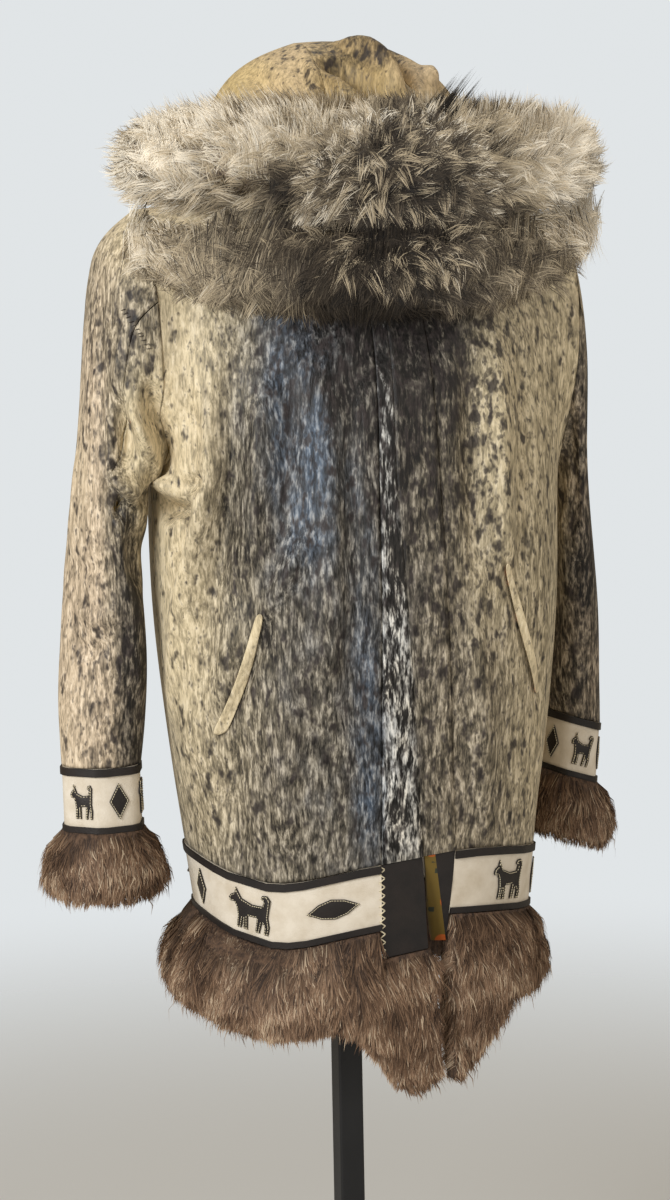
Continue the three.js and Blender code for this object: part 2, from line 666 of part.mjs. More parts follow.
// Ruff: the hood's fur strip, lying as an upper and a lower roll
function ruffRoll(table, squash) {
  const path = new THREE.CatmullRomCurve3(table.map((spot) => new THREE.Vector3(spot.x, spot.y, spot.z)));
  const radiusPath = new THREE.CatmullRomCurve3(
    table.map((spot, index) => new THREE.Vector3(index, spot.radius, 0)));
  const rings = fractions(20, 0, 1).map((along) => {
    const middle = path.getPoint(along);
    const forward = path.getTangent(along).setZ(0).normalize();
    const outward = new THREE.Vector3(forward.y, -forward.x, 0);
    const radius = Math.max(radiusPath.getPoint(along).y, 4);
    return fractions(14).slice(0, -1).map((turn) => middle.clone()
      .addScaledVector(outward, radius * Math.cos(2 * Math.PI * turn))
      .add(new THREE.Vector3(0, 0, squash * radius * Math.sin(2 * Math.PI * turn))));
  });
  return loftGeometry(rings);
}
addPiece(garment, 'ruff_upper', ruffRoll(RUFF_UPPER, 0.95), COLOURS.ruff, 0.95);
addPiece(garment, 'ruff_lower', ruffRoll(RUFF_LOWER, 0.92), COLOURS.ruff, 0.95);

// Hem trim. A drop is measured down from the hem seam, and columns are angles round the body.
const HEM_FIGURES = [
  { name: 'diamond_side_right', angle: -84, kind: 'diamond' },
  { name: 'dog_front_right', angle: -56, kind: 'dog' },
  { name: 'lozenge_front_right', angle: -24.5, kind: 'lozenge' },
  { name: 'dog_front_left', angle: 36, kind: 'dog' },
  { name: 'diamond_side_left', angle: 64, kind: 'diamond' },
  { name: 'lozenge_back_left', angle: 118, kind: 'lozenge' },
  { name: 'dog_back_left', angle: 152, kind: 'dog' },
  { name: 'diamond_back', angle: 180, kind: 'diamond' },
  { name: 'dog_back_right', angle: 208, kind: 'dog' },
  { name: 'lozenge_back_right', angle: 242, kind: 'lozenge' },
];
const CELL_HALF_ANGLE = { dog: 8.6, lozenge: 9.4, diamond: 4.2 };

// Angles of the band's columns: each figure lies on one flat cell between two of them.
function bandColumns(from, to, figures, halfAngles, spacing) {
  const stops = [from, to];
  for (const figure of figures) {
    const half = halfAngles[figure.kind];
    if (figure.angle - half > from && figure.angle + half < to) {
      stops.push(figure.angle - half, figure.angle + half);
    }
  }
  stops.sort((a, b) => a - b);
  const columns = [stops[0]];
  for (let i = 1; i < stops.length; i += 1) {
    const middle = (stops[i] + stops[i - 1]) / 2;
    const onFigure = figures.some((figure) => Math.abs(figure.angle - middle) < 0.01);
    const steps = onFigure ? 1 : Math.max(1, Math.round((stops[i] - stops[i - 1]) / spacing));
    columns.push(...fractions(steps, stops[i - 1], stops[i]).slice(1));
  }
  return columns;
}

function hemPoint(angle, drop, proud) {
  return ringPoint(angle, hemSeam(angle) - drop, proud);
}

function hemStrip(columns, drops, outerProud, innerProud) {
  const grid = (proud) => drops.map((drop) => columns.map((angle) => hemPoint(angle, drop, proud)));
  return wallGeometry(grid(outerProud), grid(innerProud));
}

const HEM_TOP = 760;
const rightEnd = rightBandEdge(HEM_TOP, -halfGap);
const leftEnd = leftBandEdge(HEM_TOP, halfGap);
const HEM_LENGTHS = {
  right: { from: -90 + HALF_GAP_ANGLE, to: rightEnd },
  left: { from: leftEnd, to: 90 - HALF_GAP_ANGLE },
  back: { from: 90 + HALF_GAP_ANGLE, to: 270 - HALF_GAP_ANGLE },
};
const HEM_COLUMN_SPACING = 7;
function hemColumns(from, to) {
  return bandColumns(from, to, HEM_FIGURES, CELL_HALF_ANGLE, HEM_COLUMN_SPACING);
}

for (const [name, length] of Object.entries(HEM_LENGTHS)) {
  const columns = hemColumns(length.from, length.to);
  addPiece(garment, `hem_band_${name}`, hemStrip(
    columns, BAND_DROPS, 0, -HIDE_WALL), COLOURS.ivoryHide, 0.7);
}

// Each binding runs in one length from the left front edge round the back to the right one.
const bindingColumns = [
  ...hemColumns(HEM_LENGTHS.left.from, HEM_LENGTHS.left.to),
  ...hemColumns(HEM_LENGTHS.back.from, HEM_LENGTHS.back.to),
  ...hemColumns(HEM_LENGTHS.right.from, HEM_LENGTHS.right.to).map((angle) => angle + 360),
];
addPiece(garment, 'hem_binding_top', hemStrip(
  bindingColumns, [SEAM_GAP, BINDING_HEIGHT], SEAM_GAP + TRIM_WALL, SEAM_GAP), COLOURS.darkLeather, 0.6);
addPiece(garment, 'hem_binding_low', hemStrip(
  bindingColumns, [BAND_HEIGHT - LOW_BINDING_HEIGHT, BAND_HEIGHT], SEAM_GAP + TRIM_WALL, SEAM_GAP),
COLOURS.darkLeather, 0.6);

// Leather end panels beside the slit
function endPanel(startEdge, endEdge) {
  const drops = [SEAM_GAP, 30, 60, FACING_HEIGHT];
  const grid = (proud) => drops.map((drop) => {
    const height = HEM_TOP + 12 - drop;
    return fractions(4, startEdge(height), endEdge(height)).map((angle) => hemPoint(angle, drop, proud));
  });
  return wallGeometry(grid(0), grid(-HIDE_WALL));
}
addPiece(garment, 'end_panel_right', endPanel(
  (height) => rightBandEdge(HEM_TOP, halfGap), (height) => rightOpening(height, -halfGap)),
COLOURS.darkLeather, 0.5);
addPiece(garment, 'end_panel_left', endPanel(
  (height) => leftOpening(height, halfGap), (height) => leftBandEdge(HEM_TOP, -halfGap)),
COLOURS.darkLeather, 0.5);

// Hem fur: a rounded roll that hangs from the band's lower edge
const FUR_SECTION = [
  { fall: 0, proud: 4 },
  { fall: 0.25, proud: 22 },
  { fall: 0.6, proud: 31 },
  { fall: 0.9, proud: 24 },
  { fall: 1, proud: 8 },
  { fall: 1, proud: -6 },
  { fall: 0.5, proud: -7 },
  { fall: 0, proud: -4 },
];

const FUR_GAP = 1.2;
const CORNER_ANGLE = 7;
const LEFT_SIDE_THINNING = 0.65;
const RIGHT_SIDE_FULLNESS = 0.3;
function furHemRing(angle, top) {
  const nearSlit = 1 - smoothstep(Math.abs(angle - CORNER_ANGLE), 8, 28);
  const foot = BAND_HEIGHT + lerp(FUR_LENGTH, CORNER_FUR_LENGTH, nearSlit);
  const leftSide = LEFT_SIDE_THINNING * smoothstep(angle, 10, 60) * (1 - smoothstep(angle, 100, 150));
  const rightSide = RIGHT_SIDE_FULLNESS * smoothstep(-Math.abs(angle + 90), -40, -5);
  const thin = 1 + rightSide - Math.max(0.5 * nearSlit, leftSide);
  return FUR_SECTION.map((spot) => {
    const proud = spot.proud > 0 ? spot.proud * thin : spot.proud;
    return hemPoint(angle, lerp(top + FUR_GAP, foot, spot.fall), proud);
  });
}

// Under an end panel the fur starts lower, at the panel's own foot.
function furHem(from, to, steps) {
  return fractions(steps, from, to).map((angle) => furHemRing(angle, BAND_HEIGHT));
}

function furUnderPanel(from, to) {
  return fractions(3, from, to).map((angle) => furHemRing(angle, FACING_HEIGHT));
}
const SLIT_FOOT = 640;
const PANEL_CLEARANCE = 0.5;
const rightFur = [
  ...furHem(-90 + 0.1, rightEnd - 1, 13),
  ...furUnderPanel(rightEnd - PANEL_CLEARANCE, rightOpening(SLIT_FOOT, -1)),
];
const leftFur = [
  ...furUnderPanel(leftOpening(SLIT_FOOT, 3), leftEnd + PANEL_CLEARANCE),
  ...furHem(leftEnd + 1, 90 - 0.1, 11),
];
const backFur = furHem(90 + 0.1, 270 - 0.1, 22);
addPiece(garment, 'fur_hem_right', loftGeometry(rightFur), COLOURS.brownFur, 0.95);
addPiece(garment, 'fur_hem_left', loftGeometry(leftFur), COLOURS.brownFur, 0.95);
addPiece(garment, 'fur_hem_back', loftGeometry(backFur), COLOURS.brownFur, 0.95);

// Lining, where the slit and the hem show it: inside the back, above the fur
const LINING_ROWS = 5;
const LINING_GAP = 0.5;
const LINING_WALL = 1;
const liningFrom = back.outer.slice(0, LINING_ROWS);
addPiece(garment, 'lining_back', wallGeometry(
  insetGrid(liningFrom, HIDE_WALL + LINING_GAP, BODY_MIDDLE),
  insetGrid(liningFrom, HIDE_WALL + LINING_GAP + LINING_WALL, BODY_MIDDLE)), COLOURS.lining, 0.8);

// Cuff trim. A drop is measured down from the wrist seam.
const CUFF_FIGURES = [
  { kind: 'dog', angle: -27 },
  { kind: 'diamond', angle: 30 },
  { kind: 'dog', angle: 90 },
  { kind: 'diamond', angle: 150 },
  { kind: 'dog', angle: 210 },
  { kind: 'diamond', angle: 270 },
];
const CUFF_CELL_HALF_ANGLE = { dog: 22, diamond: 19 };

const CUFF_LEAN = 0.3;
function cuffPoint(arm, angle, drop, proud) {
  const wrist = sleevePoint(arm, angle, 1, proud);
  const tilt = (arm.innerWrist - arm.outerWrist) / 62;
  const lean = arm.side * tilt * CUFF_LEAN;
  const down = new THREE.Vector3(-lean, 0, -1).normalize();
  return wrist.addScaledVector(down, drop);
}

function cuffStrip(arm, columns, drops, outerProud, innerProud) {
  const grid = (proud) => drops.map((drop) => columns.map((angle) => cuffPoint(arm, angle, drop, proud)));
  return wallGeometry(grid(outerProud), grid(innerProud), true);
}

function furCuff(arm, steps) {
  const rings = fractions(steps, 0, 360).slice(0, -1).map((angle) => FUR_SECTION.map((spot) => {
    const drop = BAND_HEIGHT + lerp(SEAM_GAP, CUFF_FUR_LENGTH, spot.fall);
    return cuffPoint(arm, angle, drop, spot.proud * (spot.proud > 0 ? 0.55 : 0.7));
  }));
  return loftGeometry(rings, true);
}

// Sewn-on figures, flat on one cell of a band. Outlines are in millimetres from the cell's middle.
function shapeOf(points) {
  return new THREE.Shape(points.map(([x, y]) => new THREE.Vector2(x, y)));
}

// A plain standing dog. Points run from the nose over ear, back and curled tail, down the hind legs,
// along the belly and down the fore legs.
const DOG_OUTLINE = [
  [-0.5, 0.2], [-0.46, 0.28], [-0.38, 0.34], [-0.36, 0.5], [-0.29, 0.38], [-0.21, 0.25], [0.04, 0.17],
  [0.28, 0.2], [0.31, 0.34], [0.23, 0.38], [0.26, 0.47], [0.37, 0.5], [0.45, 0.4], [0.44, 0.18],
  [0.43, -0.06], [0.48, -0.28], [0.46, -0.5], [0.36, -0.5], [0.37, -0.3], [0.3, -0.2], [0.26, -0.5],
  [0.16, -0.5], [0.18, -0.13], [-0.04, -0.15], [-0.02, -0.5], [-0.12, -0.5], [-0.14, -0.2],
  [-0.17, -0.5], [-0.27, -0.5], [-0.26, -0.2], [-0.31, 0.02], [-0.37, 0.12], [-0.47, 0.11],
];

function dogShape(length, height) {
  return shapeOf(DOG_OUTLINE.map(([x, y]) => [x * length, y * height]));
}

function diamondShape(length, height) {
  return shapeOf([[-length / 2, 0], [0, -height / 2], [length / 2, 0], [0, height / 2]]);
}

// A long lozenge with drawn-in ends.
function lozengeShape(length, height) {
  const outline = [[-0.5, 0], [-0.25, -0.36], [0, -0.5], [0.25, -0.36], [0.5, 0], [0.25, 0.36], [0, 0.5],
    [-0.25, 0.36]];
  return shapeOf(outline.map(([x, y]) => [x * length, y * height]));
}

const FIGURE_SHAPES = {
  hem: { dog: dogShape(50, 40), diamond: diamondShape(22, 38), lozenge: lozengeShape(52, 20) },
  cuff: { dog: dogShape(25, 34), diamond: diamondShape(20, 36) },
};

// Lays a figure on the flat cell whose corners are given from above left, anticlockwise.
function figureGeometry(shape, topLeft, lowLeft, lowRight, topRight) {
  const middle = new THREE.Vector3();
  for (const corner of [topLeft, lowLeft, lowRight, topRight]) {
    middle.addScaledVector(corner, 0.25);
  }
  const across = new THREE.Vector3().addVectors(lowRight, topRight).sub(lowLeft).sub(topLeft).normalize();
  const up = new THREE.Vector3().addVectors(topLeft, topRight).sub(lowLeft).sub(lowRight);
  const out = new THREE.Vector3().crossVectors(across, up).normalize();
  up.crossVectors(out, across);
  const geometry = new THREE.ExtrudeGeometry(shape, { depth: FIGURE_WALL, bevelEnabled: false });
  geometry.translate(0, 0, FIGURE_LIFT);
  const frame = new THREE.Matrix4().makeBasis(across, up, out).setPosition(middle);
  geometry.applyMatrix4(frame);
  return geometry;
}

const [, cellTop, cellFoot] = BAND_DROPS;
for (const figure of HEM_FIGURES) {
  const half = CELL_HALF_ANGLE[figure.kind];
  const corner = (away, drop) => hemPoint(figure.angle + away, drop, 0);
  addPiece(garment, `figure_hem_${figure.name}`, figureGeometry(
    FIGURE_SHAPES.hem[figure.kind],
    corner(-half, cellTop), corner(-half, cellFoot), corner(half, cellFoot), corner(half, cellTop)),
  COLOURS.darkLeather, 0.6);
}

for (const [name, arm] of Object.entries(ARMS)) {
  const cuffFrom = CUFF_FIGURES[0].angle - CUFF_CELL_HALF_ANGLE.dog;
  const columns = bandColumns(cuffFrom, cuffFrom + 360, CUFF_FIGURES.slice(1), CUFF_CELL_HALF_ANGLE, 12);
  const ring = columns.slice(0, -1);
  const first = CUFF_FIGURES[0].angle + CUFF_CELL_HALF_ANGLE.dog;
  const cells = ring.filter((angle) => angle <= cuffFrom + 0.01 || angle >= first - 0.01);
  if (!cells.includes(first)) {
    cells.push(first);
    cells.sort((a, b) => a - b);
  }
  addPiece(garment, `cuff_band_${name}`, cuffStrip(
    arm, cells, BAND_DROPS, 0, -HIDE_WALL), COLOURS.ivoryHide, 0.7);
  addPiece(garment, `cuff_binding_top_${name}`, cuffStrip(
    arm, cells, [SEAM_GAP, BINDING_HEIGHT], SEAM_GAP + TRIM_WALL, SEAM_GAP), COLOURS.darkLeather, 0.6);
  addPiece(garment, `cuff_binding_low_${name}`, cuffStrip(
    arm, cells, [BAND_HEIGHT - LOW_BINDING_HEIGHT, BAND_HEIGHT], SEAM_GAP + TRIM_WALL, SEAM_GAP), COLOURS.darkLeather, 0.6);
  addPiece(garment, `fur_cuff_${name}`, furCuff(arm, 20), COLOURS.brownFur, 0.95);
  CUFF_FIGURES.slice(0, 4).forEach((figure, index) => {
    const half = CUFF_CELL_HALF_ANGLE[figure.kind];
    const start = arm.side < 0 ? -half : half;
    const corner = (away, drop) => cuffPoint(arm, figure.angle + away, drop, 0);
    addPiece(garment, `figure_cuff_${figure.kind}_${index + 1}_${name}`, figureGeometry(
      FIGURE_SHAPES.cuff[figure.kind],
      corner(start, cellTop), corner(start, cellFoot),
      corner(-start, cellFoot), corner(-start, cellTop)), COLOURS.darkLeather, 0.6);
  });
}

// Stand: base plate, pole and torso form
function basePlate() {
  const profile = [[0, 0], [BASE_RADIUS - BASE_EDGE, 0], [BASE_RADIUS, BASE_EDGE],
    [BASE_RADIUS, BASE_HEIGHT - BASE_EDGE], [BASE_RADIUS - BASE_EDGE, BASE_HEIGHT], [0, BASE_HEIGHT]];
  const geometry = new THREE.LatheGeometry(profile.map(([r, z]) => new THREE.Vector2(r, z)), 48);
  geometry.rotateX(Math.PI / 2);
  return geometry;
}

function pole() {
  const half = POLE_SIDE / 2;
  const shape = new THREE.Shape();
  shape.moveTo(half, -half + POLE_CORNER);
  shape.lineTo(half, half - POLE_CORNER);
  shape.absarc(half - POLE_CORNER, half - POLE_CORNER, POLE_CORNER, 0, Math.PI / 2);
  shape.absarc(-half + POLE_CORNER, half - POLE_CORNER, POLE_CORNER, Math.PI / 2, Math.PI);
  shape.absarc(-half + POLE_CORNER, -half + POLE_CORNER, POLE_CORNER, Math.PI, Math.PI * 1.5);
  shape.absarc(half - POLE_CORNER, -half + POLE_CORNER, POLE_CORNER, Math.PI * 1.5, Math.PI * 2);
  const length = POLE_TOP - BASE_HEIGHT - SEAM_GAP;
  const geometry = new THREE.ExtrudeGeometry(
    shape, { depth: length, bevelEnabled: false, curveSegments: 3 });
  geometry.translate(0, 0, BASE_HEIGHT + SEAM_GAP);
  return geometry;
}

function torsoForm() {
  const rings = FORM_SECTIONS.map((row) => fractions(24, 0, 360).slice(0, -1)
    .map((angle) => new THREE.Vector3(
      row.halfWidth * Math.cos(radians(angle)),
      row.middleY + row.halfDepth * Math.sin(radians(angle)),
      row.at)));
  return loftGeometry(rings);
}

addPiece(jacket, 'stand_base', basePlate(), COLOURS.blackSteel, 0.5, 0.6);
addPiece(jacket, 'stand_pole', pole(), COLOURS.blackSteel, 0.5, 0.6);
addPiece(garment, 'stand_form', torsoForm(), COLOURS.formCloth, 0.9);

export default jacket;
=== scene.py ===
"""Sealskin jacket with a fox ruff, figured hide bands and brown fur, hung on a display stand."""

import math

import bmesh
import bpy
import numpy as np
from mathutils import Matrix, Vector, kdtree
from mathutils.bvhtree import BVHTree


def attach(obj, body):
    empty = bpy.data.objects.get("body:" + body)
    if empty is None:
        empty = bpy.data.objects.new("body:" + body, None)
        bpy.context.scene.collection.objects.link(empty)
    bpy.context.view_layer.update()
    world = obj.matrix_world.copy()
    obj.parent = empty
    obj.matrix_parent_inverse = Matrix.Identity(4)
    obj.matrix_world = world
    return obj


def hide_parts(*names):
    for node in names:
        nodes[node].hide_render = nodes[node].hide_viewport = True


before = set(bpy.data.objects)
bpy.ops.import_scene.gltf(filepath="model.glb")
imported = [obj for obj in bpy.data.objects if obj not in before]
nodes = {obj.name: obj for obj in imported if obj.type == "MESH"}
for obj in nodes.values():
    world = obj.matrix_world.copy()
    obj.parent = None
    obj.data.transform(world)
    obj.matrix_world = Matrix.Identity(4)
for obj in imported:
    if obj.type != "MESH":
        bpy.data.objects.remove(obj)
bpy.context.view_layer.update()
chance = np.random.default_rng(7)

# The photograph's camera, and places given in its pixels
PICTURE_WIDTH = 670
PICTURE_HEIGHT = 1200
PICTURE_SHIFT = 3
FOCAL_PIXELS = 1905
VIEW_AZIMUTH = math.radians(-20)
VIEW_PITCH = math.radians(3.84)
VIEW_ROLL = math.radians(1.1)
VIEW_HEIGHT = 1.15
VIEW_DISTANCE = 2.0
SENSOR = 36

level_view = np.array([-math.sin(VIEW_AZIMUTH), math.cos(VIEW_AZIMUTH), 0.0])
view_right = np.array([math.cos(VIEW_AZIMUTH), math.sin(VIEW_AZIMUTH), 0.0])
view_line = level_view * math.cos(VIEW_PITCH) - np.array([0, 0, math.sin(VIEW_PITCH)])
view_up = level_view * math.sin(VIEW_PITCH) + np.array([0, 0, math.cos(VIEW_PITCH)])
eye = np.array([0, 0, VIEW_HEIGHT]) - level_view * VIEW_DISTANCE


def photo_place(points):
    """Where points show in the photograph: pixels across and down."""
    seen = points - eye
    depth = seen @ view_line
    across = FOCAL_PIXELS * (seen @ view_right) / depth
    rise = FOCAL_PIXELS * (seen @ view_up) / depth
    turned_across = across * math.cos(VIEW_ROLL) - rise * math.sin(VIEW_ROLL)
    turned_rise = across * math.sin(VIEW_ROLL) + rise * math.cos(VIEW_ROLL)
    return PICTURE_WIDTH / 2 + PICTURE_SHIFT + turned_across, PICTURE_HEIGHT / 2 - turned_rise


def sight_line(x, y):
    """The direction from the camera through a place in the photograph."""
    across = x - PICTURE_WIDTH / 2 - PICTURE_SHIFT
    rise = PICTURE_HEIGHT / 2 - y
    level_across = across * math.cos(VIEW_ROLL) + rise * math.sin(VIEW_ROLL)
    level_rise = rise * math.cos(VIEW_ROLL) - across * math.sin(VIEW_ROLL)
    line = view_line * FOCAL_PIXELS + view_right * level_across + view_up * level_rise
    return Vector(line).normalized()


def make_camera():
    data = bpy.data.cameras.new("camera")
    data.sensor_width = SENSOR
    data.lens = FOCAL_PIXELS / PICTURE_HEIGHT * SENSOR
    data.shift_x = -PICTURE_SHIFT / PICTURE_HEIGHT
    camera = bpy.data.objects.new("camera", data)
    bpy.context.scene.collection.objects.link(camera)
    facing = Vector(view_line).to_track_quat("-Z", "Y").to_matrix()
    turned = facing @ Matrix.Rotation(-VIEW_ROLL, 3, "Z")
    camera.matrix_world = Matrix.Translation(eye) @ turned.to_4x4()
    bpy.context.scene.camera = camera


# Colours and node helpers
def paint(red, green, blue):
    """A colour given from 0 to 255 as a linear one."""
    parts = []
    for part in (red, green, blue):
        share = part / 255
        parts.append(share / 12.92 if share <= 0.04045 else ((share + 0.055) / 1.055) ** 2.4)
    return (*parts, 1.0)


def add_node(tree, kind, values=None, **settings):
    made = tree.nodes.new(kind)
    for key, value in settings.items():
        setattr(made, key, value)
    for socket, value in (values or {}).items():
        if isinstance(value, bpy.types.NodeSocket):
            tree.links.new(value, made.inputs[socket])
        else:
            made.inputs[socket].default_value = value
    return made


def calculate(tree, operation, first, second=0.0, clamp=False):
    values = {0: first, 1: second}
    return add_node(tree, "ShaderNodeMath", values, operation=operation, use_clamp=clamp).outputs[0]


def mix_colours(tree, share, first, second, blend="MIX"):
    made = add_node(tree, "ShaderNodeMix", data_type="RGBA", blend_type=blend)
    for socket, value in ((made.inputs[0], share), (made.inputs[6], first), (made.inputs[7], second)):
        if isinstance(value, bpy.types.NodeSocket):
            tree.links.new(value, socket)
        else:
            socket.default_value = value
    return made.outputs[2]


def remap(tree, value, low, high, to_low=0.0, to_high=1.0, smooth=False):
    values = {"Value": value, "From Min": low, "From Max": high, "To Min": to_low, "To Max": to_high}
    kind = "SMOOTHSTEP" if smooth else "LINEAR"
    return add_node(tree, "ShaderNodeMapRange", values, interpolation_type=kind).outputs[0]


def stretched_noise(tree, place, scale, detail=2.0, roughness=0.5, turn=(0, 0, 0)):
    """Noise with its own scale along each axis, so that it can run as streaks."""
    mapped = add_node(tree, "ShaderNodeMapping", {"Vector": place, "Scale": scale, "Rotation": turn})
    values = {"Vector": mapped.outputs[0], "Scale": 1.0, "Detail": detail, "Roughness": roughness}
    return add_node(tree, "ShaderNodeTexNoise", values).outputs["Fac"]


def new_group(name, sockets_in, sockets_out):
    group = bpy.data.node_groups.new(name, "ShaderNodeTree")
    for socket, kind, value in sockets_in:
        made = group.interface.new_socket(name=socket, in_out="INPUT", socket_type="NodeSocket" + kind)
        if value is not None:
            made.default_value = value
    for socket, kind in sockets_out:
        group.interface.new_socket(name=socket, in_out="OUTPUT", socket_type="NodeSocket" + kind)
    entry = group.nodes.new("NodeGroupInput")
    leave = group.nodes.new("NodeGroupOutput")
    return group, entry.outputs, leave.inputs


def use_group(tree, group, values):
    made = tree.nodes.new("ShaderNodeGroup")
    made.node_tree = group
    for socket, value in values.items():
        if isinstance(value, bpy.types.NodeSocket):
            tree.links.new(value, made.inputs[socket])
        else:
            made.inputs[socket].default_value = value
    return made.outputs


def new_material(name, **constants):
    """A material with its Principled shader, whose plain sockets are set here."""
    material = bpy.data.materials.new(name)
    material.use_nodes = True
    tree = material.node_tree
    shader = tree.nodes["Principled BSDF"]
    for socket, value in constants.items():
        shader.inputs[socket.replace("_", " ")].default_value = value
    return material, tree, shader


def bump_from(tree, height, strength, distance):
    values = {"Height": height, "Strength": strength, "Distance": distance}
    return add_node(tree, "ShaderNodeBump", values).outputs[0]


def dress(tree, shader, colour, roughness, bump=None):
    """Joins a material's colour, roughness and bump to its shader."""
    tree.links.new(colour, shader.inputs["Base Color"])
    tree.links.new(roughness, shader.inputs["Roughness"])
    if bump is not None:
        tree.links.new(bump, shader.inputs["Normal"])


# Shared surface effects
def make_nap_group():
    """Short hair that lies down the skin: streaks along Z."""
    sockets = [("Vector", "Vector", None), ("Fineness", "Float", 1.0)]
    results = [("Fine", "Float"), ("Broad", "Float"), ("Height", "Float")]
    group, given, out = new_group("nap", sockets, results)
    wobble = stretched_noise(group, given["Vector"], (28, 28, 16), 1.0)
    sway = calculate(group, "MULTIPLY", calculate(group, "SUBTRACT", wobble, 0.5), 0.012)
    shift = add_node(group, "ShaderNodeCombineXYZ", {"X": sway, "Y": sway, "Z": sway})
    moved = add_node(group, "ShaderNodeVectorMath", {0: given["Vector"], 1: shift.outputs[0]},
                     operation="ADD")
    sized = add_node(group, "ShaderNodeVectorMath", {0: moved.outputs[0], "Scale": given["Fineness"]},
                     operation="SCALE")
    fine = stretched_noise(group, sized.outputs[0], (540, 540, 90), 2.0, 0.6)
    broad = stretched_noise(group, sized.outputs[0], (220, 220, 50), 3.0, 0.6)
    height = calculate(group, "ADD", calculate(group, "MULTIPLY", fine, 0.5), broad)
    group.links.new(remap(group, fine, 0.39, 0.61), out["Fine"])
    group.links.new(remap(group, broad, 0.39, 0.61), out["Broad"])
    group.links.new(height, out["Height"])
    return group


def make_grain_group():
    """Pebbled leather grain with faint wear."""
    group, given, out = new_group("leather_grain", [("Vector", "Vector", None), ("Size", "Float", 700.0)],
                                  [("Height", "Float"), ("Wear", "Float")])
    cells = add_node(group, "ShaderNodeTexVoronoi", {"Vector": given["Vector"], "Scale": given["Size"]},
                     feature="SMOOTH_F1")
    wear = stretched_noise(group, given["Vector"], (45, 45, 45), 4.0, 0.6)
    group.links.new(cells.outputs["Distance"], out["Height"])
    group.links.new(remap(group, wear, 0.35, 0.7), out["Wear"])
    return group


NAP = make_nap_group()
GRAIN = make_grain_group()


def object_place(tree):
    return add_node(tree, "ShaderNodeTexCoord").outputs["Object"]


GREY = paint(122, 115, 104)
# Silver grey, partly the seal's own colour and partly painted sheen where light catches raised nap
SILVER_AND_SHEEN = paint(178, 178, 176)
CREAM = paint(222, 205, 168)
TAWNY = paint(206, 184, 158)
# Painted sheen: a blue grey where light catches the nap
SHEEN_BLUE_GREY = paint(84, 100, 120)
GOLD_CREAM = paint(200, 176, 124)
OLIVE = paint(128, 104, 66)
CHARCOAL = paint(28, 25, 25)
SPOT_BROWN = paint(42, 36, 36)
FROST = paint(190, 184, 172)


def sealskin_material(name, plain, cream, contrast, frosted, soft, streaked):
    """Seal fur: the attribute coat holds how dark, cream and blue it is, and how spotted. The blue is
    painted sheen, and the dark is partly painted shade.
    """
    material, tree, shader = new_material(name, Sheen_Weight=0.07, Sheen_Roughness=0.45)
    shader.inputs["Specular IOR Level"].default_value = 0.3
    shader.inputs["Sheen Tint"].default_value = paint(235, 232, 220)
    place = object_place(tree)
    nap = use_group(tree, NAP, {"Vector": place})
    coat = add_node(tree, "ShaderNodeAttribute", attribute_name="coat")
    parts = add_node(tree, "ShaderNodeSeparateColor", {"Color": coat.outputs["Color"]}).outputs
    tan = add_node(tree, "ShaderNodeAttribute", attribute_name="tan").outputs["Fac"]
    density = coat.outputs["Alpha"]
    streak = calculate(tree, "ADD", calculate(tree, "MULTIPLY", nap["Broad"], 0.6),
                       calculate(tree, "MULTIPLY", nap["Fine"], 0.4))
    centred = calculate(tree, "SUBTRACT", streak, 0.5)
    mottle = remap(tree, stretched_noise(tree, place, (52, 52, 20), 3.0, 0.6), 0.33, 0.67)
    patchy = calculate(tree, "SUBTRACT", mottle, 0.5)
    green = calculate(tree, "ADD", parts["Green"], calculate(tree, "MULTIPLY", patchy, 0.35), True)
    base = mix_colours(tree, green, plain, cream)
    base = mix_colours(tree, tan, base, TAWNY)
    # Painted sheen: the blue share mixes in a blue grey where light catches the nap
    blue = calculate(tree, "ADD", parts["Blue"], calculate(tree, "MULTIPLY", patchy, -0.35))
    blue = calculate(tree, "MULTIPLY", calculate(tree, "MULTIPLY", parts["Blue"], 1.6, True), blue, True)
    base = mix_colours(tree, blue, base, SHEEN_BLUE_GREY)
    darkness = calculate(tree, "SUBTRACT", parts["Red"], calculate(tree, "MULTIPLY", centred, streaked))
    darkness = calculate(tree, "ADD", darkness, calculate(tree, "MULTIPLY", patchy, 0.55))
    darkness = remap(tree, darkness, 0.54 - soft, 0.54 + soft)
    darkness = calculate(tree, "MULTIPLY", darkness, calculate(tree, "MULTIPLY", parts["Red"], 5.0, True))
    base = mix_colours(tree, calculate(tree, "MULTIPLY", darkness, 0.96), base, CHARCOAL)
    thin = calculate(tree, "SUBTRACT", 1.25, parts["Red"], True)
    thinly = calculate(tree, "MULTIPLY", thin, frosted)
    frost = calculate(tree, "MULTIPLY", remap(tree, streak, 0.5, 1.0), thinly)
    base = mix_colours(tree, frost, base, FROST)
    ragged = calculate(tree, "MULTIPLY", centred, 0.1)
    for scale, start, weight in (((112, 112, 62), 0.62, 0.9), ((230, 230, 120), 0.64, 0.75)):
        spots = calculate(tree, "ADD", stretched_noise(tree, place, scale, 2.0, 0.5), ragged)
        spots = calculate(tree, "ADD", spots, calculate(tree, "MULTIPLY", density, 0.17))
        spots = calculate(tree, "MULTIPLY", remap(tree, spots, start, start + 0.17, smooth=True), weight)
        base = mix_colours(tree, spots, base, SPOT_BROWN)
    depth = remap(tree, green, 0.2, 0.95, contrast, 0.34)
    lighter = calculate(tree, "MULTIPLY", centred, calculate(tree, "MULTIPLY", depth, 2.0))
    light = calculate(tree, "ADD", lighter, 1.0)
    shade = add_node(tree, "ShaderNodeVectorMath", {0: base, "Scale": light}, operation="SCALE")
    dress(tree, shader, shade.outputs[0], remap(tree, nap["Fine"], 0, 1, 0.46, 0.66),
          bump_from(tree, nap["Height"], 0.55, 0.0016))
    return material


